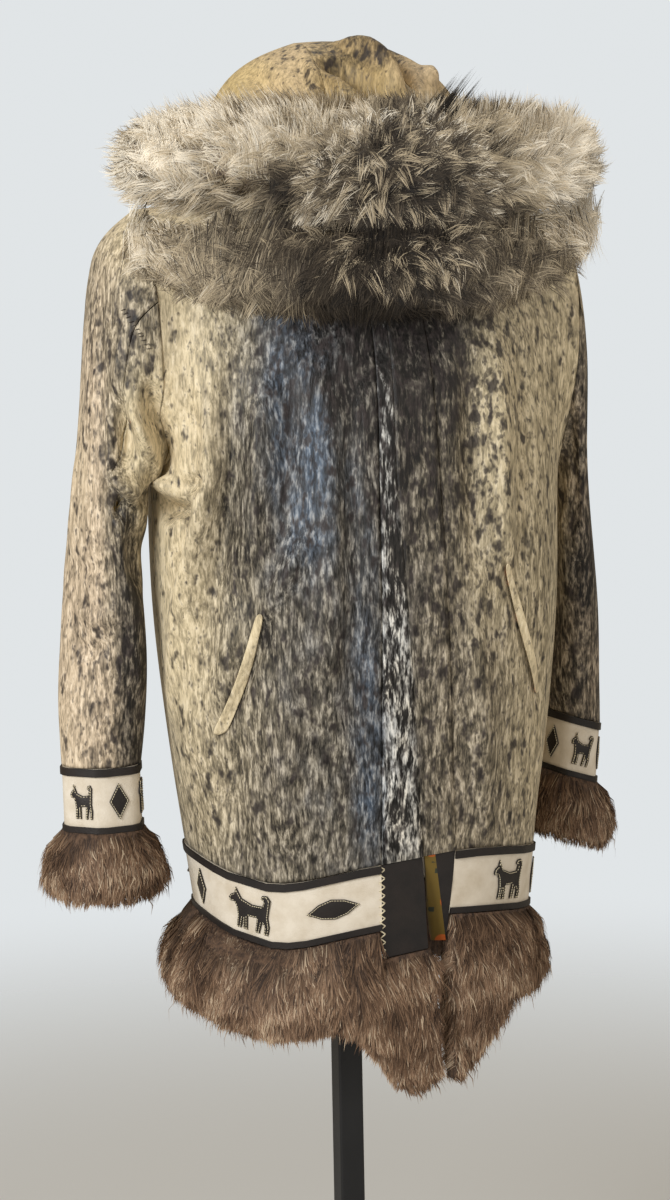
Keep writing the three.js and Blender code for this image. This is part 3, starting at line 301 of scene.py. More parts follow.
def fur_material(name, tones, roughness, deep):
    """Hair: its map runs from root to tip upwards, and from dark to pale hair across."""
    material, tree, shader = new_material(name)
    shader.inputs["Specular IOR Level"].default_value = 0.2
    uv = add_node(tree, "ShaderNodeUVMap", uv_map="hair").outputs[0]
    parts = add_node(tree, "ShaderNodeSeparateXYZ", {0: uv}).outputs
    ramp = add_node(tree, "ShaderNodeValToRGB", {0: parts["X"]})
    for stop, (place, colour) in enumerate(tones):
        if stop > 1:
            ramp.color_ramp.elements.new(place)
        ramp.color_ramp.elements[stop].position = place
        ramp.color_ramp.elements[stop].color = colour
    # Darker towards the root and paler than the ramp at the tip: partly the hair's own darker root, partly
    # painted shade and light in place of the shadow the hair doesn't cast
    light = remap(tree, parts["Y"], 0.1, 0.95, deep, 1.12)
    colour = add_node(tree, "ShaderNodeVectorMath", {0: ramp.outputs[0], "Scale": light}, operation="SCALE")
    dress(tree, shader, colour.outputs[0], remap(tree, parts["Y"], 0, 1, roughness + 0.1, roughness))
    return material


def under_fur_material(name, colour, deep):
    """The skin and woolly undercoat below the long hair."""
    material, tree, shader = new_material(name)
    place = object_place(tree)
    clumps = stretched_noise(tree, place, (260, 260, 90), 3.0, 0.6)
    coloured = mix_colours(tree, remap(tree, clumps, 0.35, 0.65), deep, colour)
    dress(tree, shader, coloured, remap(tree, clumps, 0, 1, 0.95, 0.75), bump_from(tree, clumps, 0.8, 0.004))
    return material


def hide_material(name, colour, worn, roughness, size):
    """Tanned hide with grain, pale or dark."""
    material, tree, shader = new_material(name)
    place = object_place(tree)
    grain = use_group(tree, GRAIN, {"Vector": place, "Size": size})
    coloured = mix_colours(tree, calculate(tree, "MULTIPLY", grain["Wear"], 0.8), colour, worn)
    dress(tree, shader, coloured, remap(tree, grain["Wear"], 0, 1, roughness + 0.12, roughness),
          bump_from(tree, grain["Height"], 0.35, 0.0006))
    return material


def cloth_material(name, colour, second, threads, roughness):
    """Plain woven cloth: two sets of threads."""
    material, tree, shader = new_material(name, Sheen_Weight=0.1)
    place = object_place(tree)
    values = {"Vector": place, "Scale": threads, "Distortion": 0.3}
    warp, weft = (add_node(tree, "ShaderNodeTexWave", values, bands_direction=way).outputs["Fac"]
                  for way in ("X", "Z"))
    weave = calculate(tree, "MULTIPLY", warp, weft)
    dress(tree, shader, mix_colours(tree, weave, colour, second),
          remap(tree, weave, 0, 1, roughness, roughness - 0.12), bump_from(tree, weave, 0.3, 0.0003))
    return material


def lining_material():
    """Ochre lining cloth with plain round flowers and leaves."""
    material, tree, shader = new_material("lining", Sheen_Weight=0.1)
    place = object_place(tree)
    flowers = add_node(tree, "ShaderNodeTexVoronoi", {"Vector": place, "Scale": 38.0, "Randomness": 0.8})
    petals = remap(tree, flowers.outputs["Distance"], 0.30, 0.34, 1.0, 0.0)
    eyes = remap(tree, flowers.outputs["Distance"], 0.10, 0.13, 1.0, 0.0)
    leaves = add_node(tree, "ShaderNodeTexVoronoi", {"Vector": place, "Scale": 70.0}, distance="CHEBYCHEV")
    green = remap(tree, leaves.outputs["Distance"], 0.16, 0.2, 1.0, 0.0)
    base = mix_colours(tree, green, paint(112, 90, 26), paint(44, 50, 34))
    base = mix_colours(tree, petals, base, paint(196, 96, 28))
    base = mix_colours(tree, eyes, base, paint(232, 190, 70))
    weave = stretched_noise(tree, place, (1500, 1500, 1500), 1.0)
    dress(tree, shader, base, remap(tree, weave, 0, 1, 0.6, 0.85), bump_from(tree, weave, 0.25, 0.0003))
    return material


def metal_material(name, colour, metallic, roughness):
    """Painted or bare metal with a fine powder texture."""
    material, tree, shader = new_material(name, Metallic=metallic)
    place = object_place(tree)
    powder = stretched_noise(tree, place, (900, 900, 900), 2.0)
    worn = stretched_noise(tree, place, (14, 14, 5), 3.0)
    pale = tuple(min(1.0, part * 1.8 + 0.01) for part in colour[:3])
    dress(tree, shader, mix_colours(tree, remap(tree, worn, 0.4, 0.8), colour, (*pale, 1)),
          remap(tree, powder, 0.3, 0.7, roughness, roughness + 0.15), bump_from(tree, powder, 0.2, 0.0003))
    return material


SEALSKIN = sealskin_material("sealskin", GREY, CREAM, 0.75, 0.35, 0.44, 0.5)
# The right placket's fur: partly its own silver grey and partly painted sheen on its raised nap
SILVER_AND_SHEEN_SEALSKIN = sealskin_material("silver_and_sheen_sealskin", SILVER_AND_SHEEN, CREAM, 0.9, 0.5, 0.22, 0.8)
GOLDEN_SEALSKIN = sealskin_material("golden_sealskin", OLIVE, GOLD_CREAM, 0.3, 0.05, 0.42, 0.5)
RUFF_COLOURS = ((0.0, paint(16, 13, 12)), (0.32, paint(84, 74, 62)),
                (0.65, paint(196, 179, 150)), (1.0, paint(254, 245, 228)))
BROWN_COLOURS = ((0.0, paint(52, 38, 30)), (0.4, paint(112, 86, 66)),
                 (0.75, paint(160, 130, 104)), (1.0, paint(214, 192, 164)))
RUFF_HAIR = fur_material("ruff_hair", RUFF_COLOURS, 0.6, 0.5)
BROWN_HAIR = fur_material("brown_hair", BROWN_COLOURS, 0.55, 0.42)
RUFF_UNDER = under_fur_material("ruff_undercoat", paint(140, 124, 104), paint(84, 72, 62))
BROWN_UNDER = under_fur_material("brown_undercoat", paint(104, 80, 62), paint(54, 40, 32))
IVORY_HIDE = hide_material("ivory_hide", paint(232, 222, 206), paint(206, 192, 170), 0.7, 900)
DARK_LEATHER = hide_material("dark_leather", paint(18, 13, 12), paint(36, 27, 24), 0.5, 800)
THREAD = cloth_material("ivory_thread", paint(226, 212, 178), paint(244, 236, 214), 900, 0.7)
DARK_THREAD = cloth_material("dark_thread", paint(40, 32, 30), paint(70, 56, 50), 900, 0.6)
TAPE = cloth_material("zip_tape", paint(24, 24, 26), paint(48, 48, 52), 260, 0.8)
TEETH = metal_material("zip_teeth", paint(120, 112, 96), 0.9, 0.35)
JERSEY = cloth_material("black_jersey", paint(20, 20, 22), paint(40, 40, 44), 300, 0.85)
POWDER_COAT = metal_material("black_powder_coat", paint(14, 14, 16), 0.2, 0.42)
LINING = lining_material()


# Copies of the solids
GARMENT_Y = -0.055
BODY_MIDDLE = Vector((0, GARMENT_Y, 0))
HOOD_MIDDLE = Vector((0, GARMENT_Y + 0.03, 1.49))
MERGE = 0.00003
SHARP = math.radians(50)


def link(name, mesh):
    piece = bpy.data.objects.new(name, mesh)
    bpy.context.scene.collection.objects.link(piece)
    return piece


def merged_copy(node):
    """A bmesh of a node's solid, with its loose triangles merged and joined in quads."""
    bm = bmesh.new()
    bm.from_mesh(nodes[node].data)
    for layer in list(bm.loops.layers.uv.values()):
        bm.loops.layers.uv.remove(layer)
    bmesh.ops.remove_doubles(bm, verts=bm.verts, dist=MERGE)
    bmesh.ops.join_triangles(bm, faces=bm.faces, angle_face_threshold=math.radians(35),
                             angle_shape_threshold=math.radians(60))
    return bm


def smooth_copy(name, node, levels, keep_rims=True):
    """A subdivided copy of a node, with the rims of its wall kept sharp."""
    bm = merged_copy(node)
    crease = bm.edges.layers.float.new("crease_edge")
    for edge in bm.edges:
        if keep_rims and len(edge.link_faces) == 2 and edge.calc_face_angle() > SHARP:
            edge[crease] = 1.0
    rough = bpy.data.meshes.new(name + "_rough")
    bm.to_mesh(rough)
    bm.free()
    shaped = link(name + "_shaping", rough)
    modifier = shaped.modifiers.new("smooth", "SUBSURF")
    modifier.levels = levels
    modifier.render_levels = levels
    evaluated = shaped.evaluated_get(bpy.context.evaluated_depsgraph_get())
    mesh = bpy.data.meshes.new_from_object(evaluated)
    bpy.data.objects.remove(shaped)
    mesh.materials.clear()
    mesh.name = name
    return link(name, mesh)


def plain_copy(name, node, bevel=0.0):
    """A copy of a node whose flat cells are shaded as one curve."""
    bm = merged_copy(node)
    if bevel:
        edges = [edge for edge in bm.edges if edge.is_manifold and edge.calc_face_angle() > SHARP]
        bmesh.ops.bevel(bm, geom=edges, offset=bevel, segments=2, affect="EDGES", profile=0.5, material=-1)
    for edge in bm.edges:
        edge.smooth = not (edge.is_manifold and edge.calc_face_angle() > SHARP)
    mesh = bpy.data.meshes.new(name)
    bm.to_mesh(mesh)
    bm.free()
    return link(name, mesh)


def points_of(mesh):
    found = np.empty(len(mesh.vertices) * 3)
    mesh.vertices.foreach_get("co", found)
    return found.reshape(-1, 3)


def triples(items, field):
    """A field of three numbers, read from every face or vertex of a mesh."""
    found = np.empty(len(items) * 3, np.float32)
    items.foreach_get(field, found)
    return found.reshape(-1, 3)


def move_points(mesh, points):
    mesh.vertices.foreach_set("co", points.ravel())
    mesh.update()


def shade_smooth(mesh):
    mesh.polygons.foreach_set("use_smooth", np.ones(len(mesh.polygons), bool))


def finish_piece(piece, replaced=(), materials=()):
    """Every new piece rides on the one body and hides the solids it replaces."""
    for material in materials:
        piece.data.materials.append(material)
    shade_smooth(piece.data)
    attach(piece, "root")
    if replaced:
        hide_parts(*replaced)
    return piece


def sleeve_middles(side):
    """The middle of a sleeve by height, from both its panels."""
    both = [points_of(nodes[f"sleeve_{part}_{side}"].data) for part in ("outer", "under")]
    points = np.concatenate(both)
    heights = np.arange(points[:, 2].min(), points[:, 2].max(), 0.04)
    middles = []
    for height in heights:
        ring = points[np.abs(points[:, 2] - height) < 0.03]
        middles.append((ring.min(0) + ring.max(0)) / 2)
    return heights, np.array(middles)


SLEEVE_MIDDLES = {side: sleeve_middles(side) for side in ("right", "left")}


def outward(points, kind, side=None):
    """The direction away from the inside of the body, a sleeve or the hood, at each point."""
    if kind == "sleeve":
        heights, middles = SLEEVE_MIDDLES[side]
        centre = np.stack([np.interp(points[:, 2], heights, middles[:, axis]) for axis in (0, 1)], 1)
        away = points[:, :2] - centre
        away = np.concatenate([away, np.zeros((len(points), 1))], 1)
    elif kind == "hood":
        away = points - np.array(HOOD_MIDDLE)
    else:
        away = points - np.array(BODY_MIDDLE)
        away[:, 2] = 0
    return away / np.maximum(np.linalg.norm(away, axis=1, keepdims=True), 1e-6)


# Where the coat is dark, cream or spotted, and where painted sheen makes it blue: pixel x, y, reach across
# and down,
# then shares of dark, cream, blue, tan and spots. Dark shares are mostly the seal's own markings and partly
# painted shade:
# in the fold below the right arm, at the three small places beside the right pocket welt that stand for the
# shaded pocket opening, down the groove of the zip below the dark stripe at the top of the opening, and on
# the shaded left placket
COAT_PLACES = (
    (160, 250, 40, 40, 0.05, 0.90, 0.0, 0.1, 0.20),
    (215, 340, 26, 50, 0.22, 0.75, 0.0, 0.0, 0.50),
    (185, 400, 22, 60, 0.00, 0.95, 0.0, 0.1, 0.20),
    (250, 390, 22, 60, 0.45, 0.30, 0.45, 0.0, 0.60),
    (300, 370, 30, 60, 0.58, 0.00, 0.95, 0.0, 0.85),
    (350, 350, 24, 50, 1.00, 0.05, 0.25, 0.0, 1.00),
    (205, 500, 12, 70, 0.34, 0.85, 0.0, 0.1, 0.30),
    (245, 520, 20, 60, 0.80, 0.25, 0.05, 0.0, 0.50),
    (300, 510, 28, 60, 0.32, 0.10, 0.85, 0.0, 0.65),
    (355, 500, 18, 70, 0.58, 0.10, 0.45, 0.0, 0.60),
    (185, 640, 20, 70, 0.12, 0.95, 0.0, 0.1, 0.30),
    (235, 650, 20, 60, 0.45, 0.45, 0.05, 0.0, 0.50),
    (300, 650, 32, 60, 0.50, 0.15, 0.25, 0.0, 0.60),
    (365, 650, 10, 90, 0.50, 0.00, 0.95, 0.0, 0.50),
    (345, 650, 12, 90, 0.55, 0.00, 0.35, 0.0, 0.60),
    (205, 790, 26, 50, 0.32, 0.75, 0.0, 0.1, 0.45),
    (265, 790, 26, 50, 0.48, 0.25, 0.15, 0.1, 0.55),
    (325, 790, 26, 60, 0.45, 0.12, 0.35, 0.0, 0.50),
    (372, 800, 9, 70, 0.42, 0.00, 0.95, 0.0, 0.35),
    (267, 632, 4, 12, 1.20, 0.20, 0.0, 0.0, 0.30),
    (251, 668, 4, 12, 1.20, 0.20, 0.0, 0.0, 0.30),
    (234, 708, 4, 12, 1.20, 0.20, 0.0, 0.0, 0.30),
    (300, 860, 60, 20, 0.48, 0.20, 0.15, 0.05, 0.40),
    (392, 340, 20, 50, 1.10, 0.00, 0.0, 0.0, 1.00),
    (392, 450, 14, 60, 0.82, 0.00, 0.05, 0.0, 0.80),
    (400, 580, 14, 60, 0.70, 0.10, 0.0, 0.0, 0.60),
    (405, 700, 14, 60, 0.56, 0.10, 0.0, 0.0, 0.50),
    (415, 810, 14, 50, 0.50, 0.05, 0.05, 0.0, 0.45),
    (440, 350, 26, 50, 0.95, 0.10, 0.0, 0.0, 1.00),
    (440, 470, 22, 60, 0.62, 0.20, 0.0, 0.0, 0.95),
    (440, 620, 20, 70, 0.52, 0.25, 0.0, 0.05, 0.80),
    (450, 760, 20, 60, 0.46, 0.25, 0.0, 0.15, 0.60),
    (490, 400, 20, 60, 0.00, 0.85, 0.0, 0.0, 0.90),
    (490, 560, 20, 60, 0.08, 0.75, 0.0, 0.0, 0.75),
    (490, 720, 24, 70, 0.40, 0.30, 0.0, 0.1, 0.60),
    (540, 400, 20, 70, 0.30, 0.85, 0.0, 0.0, 0.45),
    (540, 560, 20, 80, 0.40, 0.80, 0.0, 0.0, 0.50),
    (530, 740, 22, 70, 0.20, 0.85, 0.0, 0.05, 0.50),
    (490, 850, 40, 20, 0.42, 0.40, 0.0, 0.15, 0.50),
)
# The right sleeve and the left one, as the viewer sees them on the left and the right. Their dark shares are
# partly
# painted shade: under the right arm, in the gap between the right sleeve and the body, and down the shaded
# left sleeve.
# The pale place at the top of the left sleeve is painted light on its shoulder.
RIGHT_SLEEVE_PLACES = (
    (118, 235, 20, 30, 0.05, 0.85, 0.0, 0.1, 0.20),
    (100, 300, 12, 50, 0.36, 0.45, 0.0, 0.45, 0.60),
    (130, 330, 12, 40, 0.50, 0.40, 0.0, 0.10, 0.80),
    (92, 400, 8, 50, 0.14, 0.35, 0.0, 0.75, 0.60),
    (112, 470, 5, 110, 0.42, 0.35, 0.0, 0.25, 0.70),
    (78, 470, 10, 70, 0.00, 0.90, 0.0, 0.60, 0.25),
    (85, 600, 14, 60, 0.10, 0.40, 0.0, 0.80, 0.65),
    (72, 700, 12, 50, 0.05, 0.70, 0.0, 0.70, 0.35),
    (100, 700, 14, 50, 0.25, 0.50, 0.0, 0.75, 0.65),
    (128, 690, 8, 60, 0.92, 0.15, 0.0, 0.15, 0.55),
    (140, 430, 14, 40, 0.05, 0.95, 0.0, 0.0, 0.35),
    (145, 520, 16, 40, 0.70, 0.95, 0.0, 0.05, 0.15),
    (125, 580, 8, 40, 0.95, 0.30, 0.0, 0.15, 0.50),
)
LEFT_SLEEVE_PLACES = (
    (562, 268, 20, 34, 0.00, 0.95, 0.0, 0.0, 0.20),
    (572, 340, 12, 50, 0.66, 0.35, 0.0, 0.40, 0.70),
    (580, 460, 12, 50, 0.75, 0.15, 0.0, 0.45, 0.70),
    (562, 480, 8, 70, 0.20, 0.70, 0.0, 0.15, 0.35),
    (582, 580, 12, 50, 0.95, 0.10, 0.0, 0.35, 0.60),
    (570, 670, 12, 40, 0.62, 0.25, 0.0, 0.35, 0.60),
    (592, 670, 10, 40, 0.70, 0.25, 0.0, 0.50, 0.60),
)
HOOD_PLACES = (
    (240, 90, 26, 30, 0.02, 0.95, 0.0, 0.0, 0.15),
    (285, 75, 20, 30, 0.02, 0.85, 0.0, 0.45, 0.45),
    (335, 60, 14, 14, 0.45, 0.50, 0.0, 0.1, 0.70),
    (335, 100, 18, 26, 0.30, 0.50, 0.0, 0.0, 0.40),
    (385, 48, 26, 10, 0.45, 0.30, 0.0, 0.1, 0.90),
    (385, 90, 22, 14, 0.05, 0.55, 0.0, 0.0, 0.15),
    (415, 72, 14, 14, 0.00, 1.00, 0.0, 0.6, 0.20),
)
# Hidden sides: how the coat changes round the body, by the share of the way to the middle of the back
BACK_SIDE = (0.03, 0.92, 0.0, 0.05, 0.30)
BACK_MIDDLE = (0.62, 0.20, 0.35, 0.0, 0.80)
WELT_COAT = (0.0, 1.0, 0.0, 0.1, 0.05)


def blend_places(places, across, down):
    """Each share at each point, as the mean of the places near it."""
    table = np.array(places)
    reach = ((across[:, None] - table[:, 0]) / table[:, 2]) ** 2
    reach += ((down[:, None] - table[:, 1]) / table[:, 3]) ** 2
    weight = np.exp(-0.5 * (reach - reach.min(1, keepdims=True)))
    return weight @ table[:, 4:] / weight.sum(1, keepdims=True)


def paint_coat(piece, kind, side=None):
    """Writes the coat and tan attributes of a skin piece."""
    mesh = piece.data
    points = points_of(mesh)
    across, down = photo_place(points)
    if kind == "hood":
        shares = blend_places(HOOD_PLACES, across, down)
    elif kind == "sleeve":
        places = RIGHT_SLEEVE_PLACES if side == "right" else LEFT_SLEEVE_PLACES
        shares = blend_places(places, across, down)
    elif "pocket" in piece.name:
        shares = np.tile(np.array(WELT_COAT), (len(points), 1))
    else:
        shares = blend_places(COAT_PLACES, across, down)
    away = outward(points, kind, side)
    facing = -(away @ level_view)
    hidden = np.clip((0.15 - facing) / 0.45, 0, 1)[:, None]
    turn = np.abs(np.arctan2(points[:, 0], points[:, 1] - GARMENT_Y))
    middle = np.clip(1 - turn / 0.75, 0, 1)[:, None] ** 0.8
    if kind == "body" and "pocket" not in piece.name:
        behind = np.array(BACK_SIDE) * (1 - middle) + np.array(BACK_MIDDLE) * middle
        shares = shares * (1 - hidden) + behind * hidden
    elif kind == "hood":
        behind = np.array((0.18, 0.70, 0.1, 0.15, 0.55))
        shares = shares * (1 - hidden) + behind * hidden
    coat = mesh.color_attributes.new(name="coat", type="FLOAT_COLOR", domain="POINT")
    values = np.stack([shares[:, 0], shares[:, 1], shares[:, 2], shares[:, 4]], 1)
    coat.data.foreach_set("color", values.astype(np.float32).ravel())
    tan = mesh.attributes.new(name="tan", type="FLOAT", domain="POINT")
    tan.data.foreach_set("value", shares[:, 3].astype(np.float32))


# A face looks inwards below this, and a level face above this height is the top of a shoulder
FACING_IN = -0.2
LEVEL_FACE = 0.3
SHOULDER_FROM = 1.12


def line_inside(piece, kind, side=None):
    """Gives the inner side of a wall its lining."""
    mesh = piece.data
    centres = triples(mesh.polygons, "center").astype(float)
    normals = triples(mesh.polygons, "normal")
    away = outward(centres, kind, side)
    on_top = (normals[:, 2] > LEVEL_FACE) & (centres[:, 2] > SHOULDER_FROM)
    inner = ((normals * away).sum(1) < FACING_IN) & ~on_top
    mesh.polygons.foreach_set("material_index", inner.astype(np.int32))


def unit(vectors):
    return vectors / np.maximum(np.linalg.norm(vectors, axis=1, keepdims=True), 1e-9)


# Folds and creases, each a line in the photograph's pixels
def make_sight_tree(names):
    """One tree of several solids, to find where a line of sight meets them."""
    joined = bmesh.new()
    for name in names:
        joined.from_mesh(nodes[name].data)
    tree = BVHTree.FromBMesh(joined)
    joined.free()
    return tree


SKIN_NODES = ["front_right", "front_left", "back", "placket_right", "placket_left",
              "sleeve_outer_right", "sleeve_under_right", "sleeve_outer_left", "sleeve_under_left",
              "hood_centre", "hood_right", "hood_left"]
skin_tree = make_sight_tree(SKIN_NODES)


def spot_on_skin(x, y):
    """Where the photograph's place lies on the jacket, and the way that faces."""
    place, normal, _, _ = skin_tree.ray_cast(Vector(eye), sight_line(x, y))
    return place, normal


class Fold:
    """A soft trough or ridge along a line of places in the photograph. Depth below 0 is a ridge."""

    def __init__(self, places, width, depth):
        self.width = width
        self.depth = depth
        self.points = []
        self.normals = []
        for x, y in places:
            point, normal = spot_on_skin(x, y)
            if point is not None:
                self.points.append(np.array(point))
                self.normals.append(np.array(normal))

    def push(self, points):
        """How far each point moves."""
        moved = np.zeros_like(points)
        best = np.full(len(points), 9.0)
        steps = len(self.points) - 1
        for step in range(steps):
            start = self.points[step]
            span = self.points[step + 1] - start
            share = np.clip(((points - start) @ span) / (span @ span), 0, 1)
            gap = np.linalg.norm(points - start - share[:, None] * span, axis=1)
            normal = self.normals[step] * (1 - share[:, None]) + self.normals[step + 1] * share[:, None]
            way = (step + share) / steps
            taper = np.sin(np.pi * np.clip(way * 0.92 + 0.04, 0, 1)) ** 0.6
            size = -self.depth * np.exp(-((gap / self.width) ** 2)) * taper
            nearer = gap < best
            moved[nearer] = (normal * size[:, None])[nearer]
            best = np.minimum(best, gap)
        return moved


FOLDS = [
    Fold([(205, 415), (209, 470), (204, 500), (196, 530), (184, 590), (172, 706)], 0.013, -0.013),
    Fold([(188, 400), (191, 440), (188, 475)], 0.011, 0.009),
    Fold([(166, 478), (183, 486), (202, 480)], 0.009, 0.016),
    Fold([(180, 500), (180, 540), (168, 600)], 0.011, 0.010),
    Fold([(228, 380), (230, 470), (221, 540), (208, 600), (198, 700)], 0.012, 0.012),
    Fold([(306, 540), (288, 572), (268, 610)], 0.010, -0.010),
    Fold([(270, 622), (252, 664), (232, 712), (220, 742)], 0.006, 0.007),
    Fold([(240, 620), (224, 668), (204, 725)], 0.012, -0.005),
    Fold([(262, 380), (258, 480), (248, 570)], 0.013, -0.009),
    Fold([(290, 380), (288, 470), (280, 550)], 0.011, 0.009),
    Fold([(236, 740), (232, 800), (238, 856)], 0.014, 0.008),
    Fold([(290, 690), (284, 780), (290, 856)], 0.018, -0.009),
    Fold([(325, 380), (331, 500), (330, 620), (326, 720)], 0.012, -0.008),
    Fold([(349, 380), (353, 560), (350, 720)], 0.010, 0.007),
    Fold([(376, 480), (382, 620), (386, 760), (390, 860)], 0.006, 0.003),
    Fold([(466, 340), (472, 450), (478, 560)], 0.012, 0.010),
    Fold([(495, 340), (500, 450), (507, 560)], 0.012, -0.010),
    Fold([(520, 350), (526, 470), (522, 570)], 0.010, 0.009),
    Fold([(505, 560), (520, 620), (538, 694)], 0.006, 0.006),
    Fold([(545, 620), (540, 700), (532, 780)], 0.011, 0.004),
    Fold([(474, 620), (480, 720), (484, 830)], 0.014, -0.008),
    Fold([(106, 490), (120, 508), (138, 516)], 0.009, 0.024),
    Fold([(112, 466), (126, 484), (142, 490)], 0.010, -0.022),
    Fold([(148, 496), (164, 509), (184, 510)], 0.009, 0.024),
    Fold([(152, 470), (166, 482), (180, 486)], 0.010, -0.020),
    Fold([(128, 400), (142, 430), (152, 470)], 0.011, -0.016),
    Fold([(116, 396), (124, 436), (122, 472)], 0.009, 0.018),
    Fold([(150, 385), (158, 420), (162, 458)], 0.009, 0.016),
    Fold([(138, 520), (148, 546), (142, 590)], 0.012, 0.014),
    Fold([(102, 290), (98, 400), (104, 500), (112, 600)], 0.006, 0.006),
    Fold([(118, 340), (116, 390), (112, 440)], 0.007, -0.005),
    Fold([(80, 330), (76, 450), (72, 560)], 0.008, -0.004),
    Fold([(72, 640), (90, 652), (110, 645)], 0.007, 0.005),
    Fold([(78, 610), (95, 622), (116, 615)], 0.008, -0.004),
    Fold([(70, 560), (88, 570), (106, 560)], 0.007, 0.003),
    Fold([(568, 330), (572, 430), (576, 520)], 0.006, 0.005),
    Fold([(560, 420), (564, 520), (568, 600)], 0.006, -0.004),
    Fold([(572, 560), (584, 570), (597, 566)], 0.006, 0.005),
    Fold([(326, 62), (348, 68), (368, 82), (380, 98), (386, 110)], 0.010, 0.028),
    Fold([(340, 46), (364, 54), (386, 70), (400, 92)], 0.011, -0.022),
    Fold([(394, 50), (404, 64), (414, 86)], 0.008, 0.022),
    Fold([(412, 58), (424, 70), (432, 88)], 0.010, -0.014),
    Fold([(318, 76), (330, 96), (345, 124)], 0.010, 0.014),
    Fold([(297, 62), (303, 80), (312, 108)], 0.004, 0.005),
    Fold([(312, 60), (318, 82), (328, 108)], 0.007, -0.005),
    Fold([(250, 72), (266, 86), (285, 98)], 0.010, 0.006),
    Fold([(232, 84), (246, 98), (262, 106)], 0.009, -0.004),
]


def drape(points, kind, side=None):
    """Moves points with the folds and with the faint waves of hanging skin."""
    moved = np.zeros_like(points)
    for fold in FOLDS:
        moved += fold.push(points)
    away = outward(points, kind, side)
    turn = np.arctan2(away[:, 0], -away[:, 1])
    height = points[:, 2]
    if kind == "body":
        wave = np.sin(7 * turn + 5 * height) * 0.5 + np.sin(13 * turn - 7 * height + 1.3) * 0.3
        size = 0.0022 * np.clip((1.28 - height) / 0.35, 0, 1) * np.clip((height - 0.79) / 0.08, 0, 1)
        behind = np.clip(-np.cos(turn), 0, 1) * np.clip((1.3 - height) / 0.3, 0, 1)
        behind *= np.clip((height - 0.8) / 0.1, 0, 1)
        hang = np.clip(np.sin(6 * turn + 3.4 * height + np.sin(3 * turn)), 0, 1) ** 1.5
        moved += away * (0.009 * hang * behind)[:, None]
    elif kind == "sleeve":
        wave = np.sin(26 * height + 2.2 * np.sin(turn)) * 0.5 + np.sin(3 * turn + 9 * height) * 0.6
        size = 0.0024 * np.clip((1.34 - height) / 0.12, 0, 1) * np.clip((height - 0.9) / 0.08, 0, 1)
    else:
        wave = np.sin(21 * points[:, 1] + 17 * points[:, 2]) * 0.6 + np.sin(31 * points[:, 0] + 4) * 0.4
        size = 0.0015 * np.clip((height - 1.45) / 0.05, 0, 1)
    return points + moved + away * (wave * size)[:, None]


def skin_piece(node, kind, levels, side=None):
    """One skin of the jacket: smooth, folded and painted."""
    piece = smooth_copy("skin_" + node, node, levels, keep_rims="pocket" not in node)
    move_points(piece.data, drape(points_of(piece.data), kind, side))
    paint_coat(piece, kind, side)
    line_inside(piece, kind, side)
    coat = SEALSKIN
    # The right placket gets the fur with painted sheen
    if node == "placket_right":
        coat = SILVER_AND_SHEEN_SEALSKIN
    elif kind == "hood":
        coat = GOLDEN_SEALSKIN
    return finish_piece(piece, [node], [coat, LINING])


skins = {}
for node in ("front_right", "front_left", "back"):
    skins[node] = skin_piece(node, "body", 2 if node == "back" else 3)
for side in ("right", "left"):
    skins["placket_" + side] = skin_piece("placket_" + side, "body", 2)
    for part in ("outer", "under"):
        node = f"sleeve_{part}_{side}"
        skins[node] = skin_piece(node, "sleeve", 3 if side == "right" else 2, side)
for node in ("hood_centre", "hood_right", "hood_left"):
    skins[node] = skin_piece(node, "hood", 3)
for side in ("right", "left"):
    skins["pocket_welt_" + side] = skin_piece("pocket_welt_" + side, "body", 2)


# Hide bands, bindings, figures and the ends of the bands
def trim_piece(node, material, bevel=0.0):
    piece = plain_copy("trim_" + node, node, bevel)
    return finish_piece(piece, [node], [material])


trims = {}
for node in sorted(nodes):
    if "_band_" in node:
        trims[node] = trim_piece(node, IVORY_HIDE)
    elif "binding" in node:
        trims[node] = trim_piece(node, DARK_LEATHER)
    elif node.startswith("figure"):
        trims[node] = trim_piece(node, DARK_LEATHER, 0.0003)
    elif node.startswith("end_panel"):
        trims[node] = trim_piece(node, DARK_LEATHER)
        trims[node].data.materials.append(LINING)
for node, slot, material in (("zip_tape", "zip_tape", TAPE), ("lining_back", "lining", LINING)):
    trims[node] = smooth_copy("trim_" + node, node, 2)
    move_points(trims[node].data, drape(points_of(trims[node].data), "body"))
    finish_piece(trims[node], [node], [material])


def show_lining(piece, top, bottom):
    """The part of an end panel left of a line in the photograph is turned back and shows its lining."""
    bm = bmesh.new()
    bm.from_mesh(piece.data)
    along = sight_line(*top).cross(sight_line(*bottom))
    cut = bm.verts[:] + bm.edges[:] + bm.faces[:]
    bmesh.ops.bisect_plane(bm, geom=cut, plane_co=Vector(eye), plane_no=along, dist=MERGE)
    for face in bm.faces:
        across, down = photo_place(np.array([face.calc_center_median()]))
        share = (down[0] - top[1]) / (bottom[1] - top[1])
        if across[0] < top[0] + (bottom[0] - top[0]) * share:
            face.material_index = 1
    bm.to_mesh(piece.data)
    bm.free()


show_lining(trims["end_panel_left"], (435, 852), (447, 950))


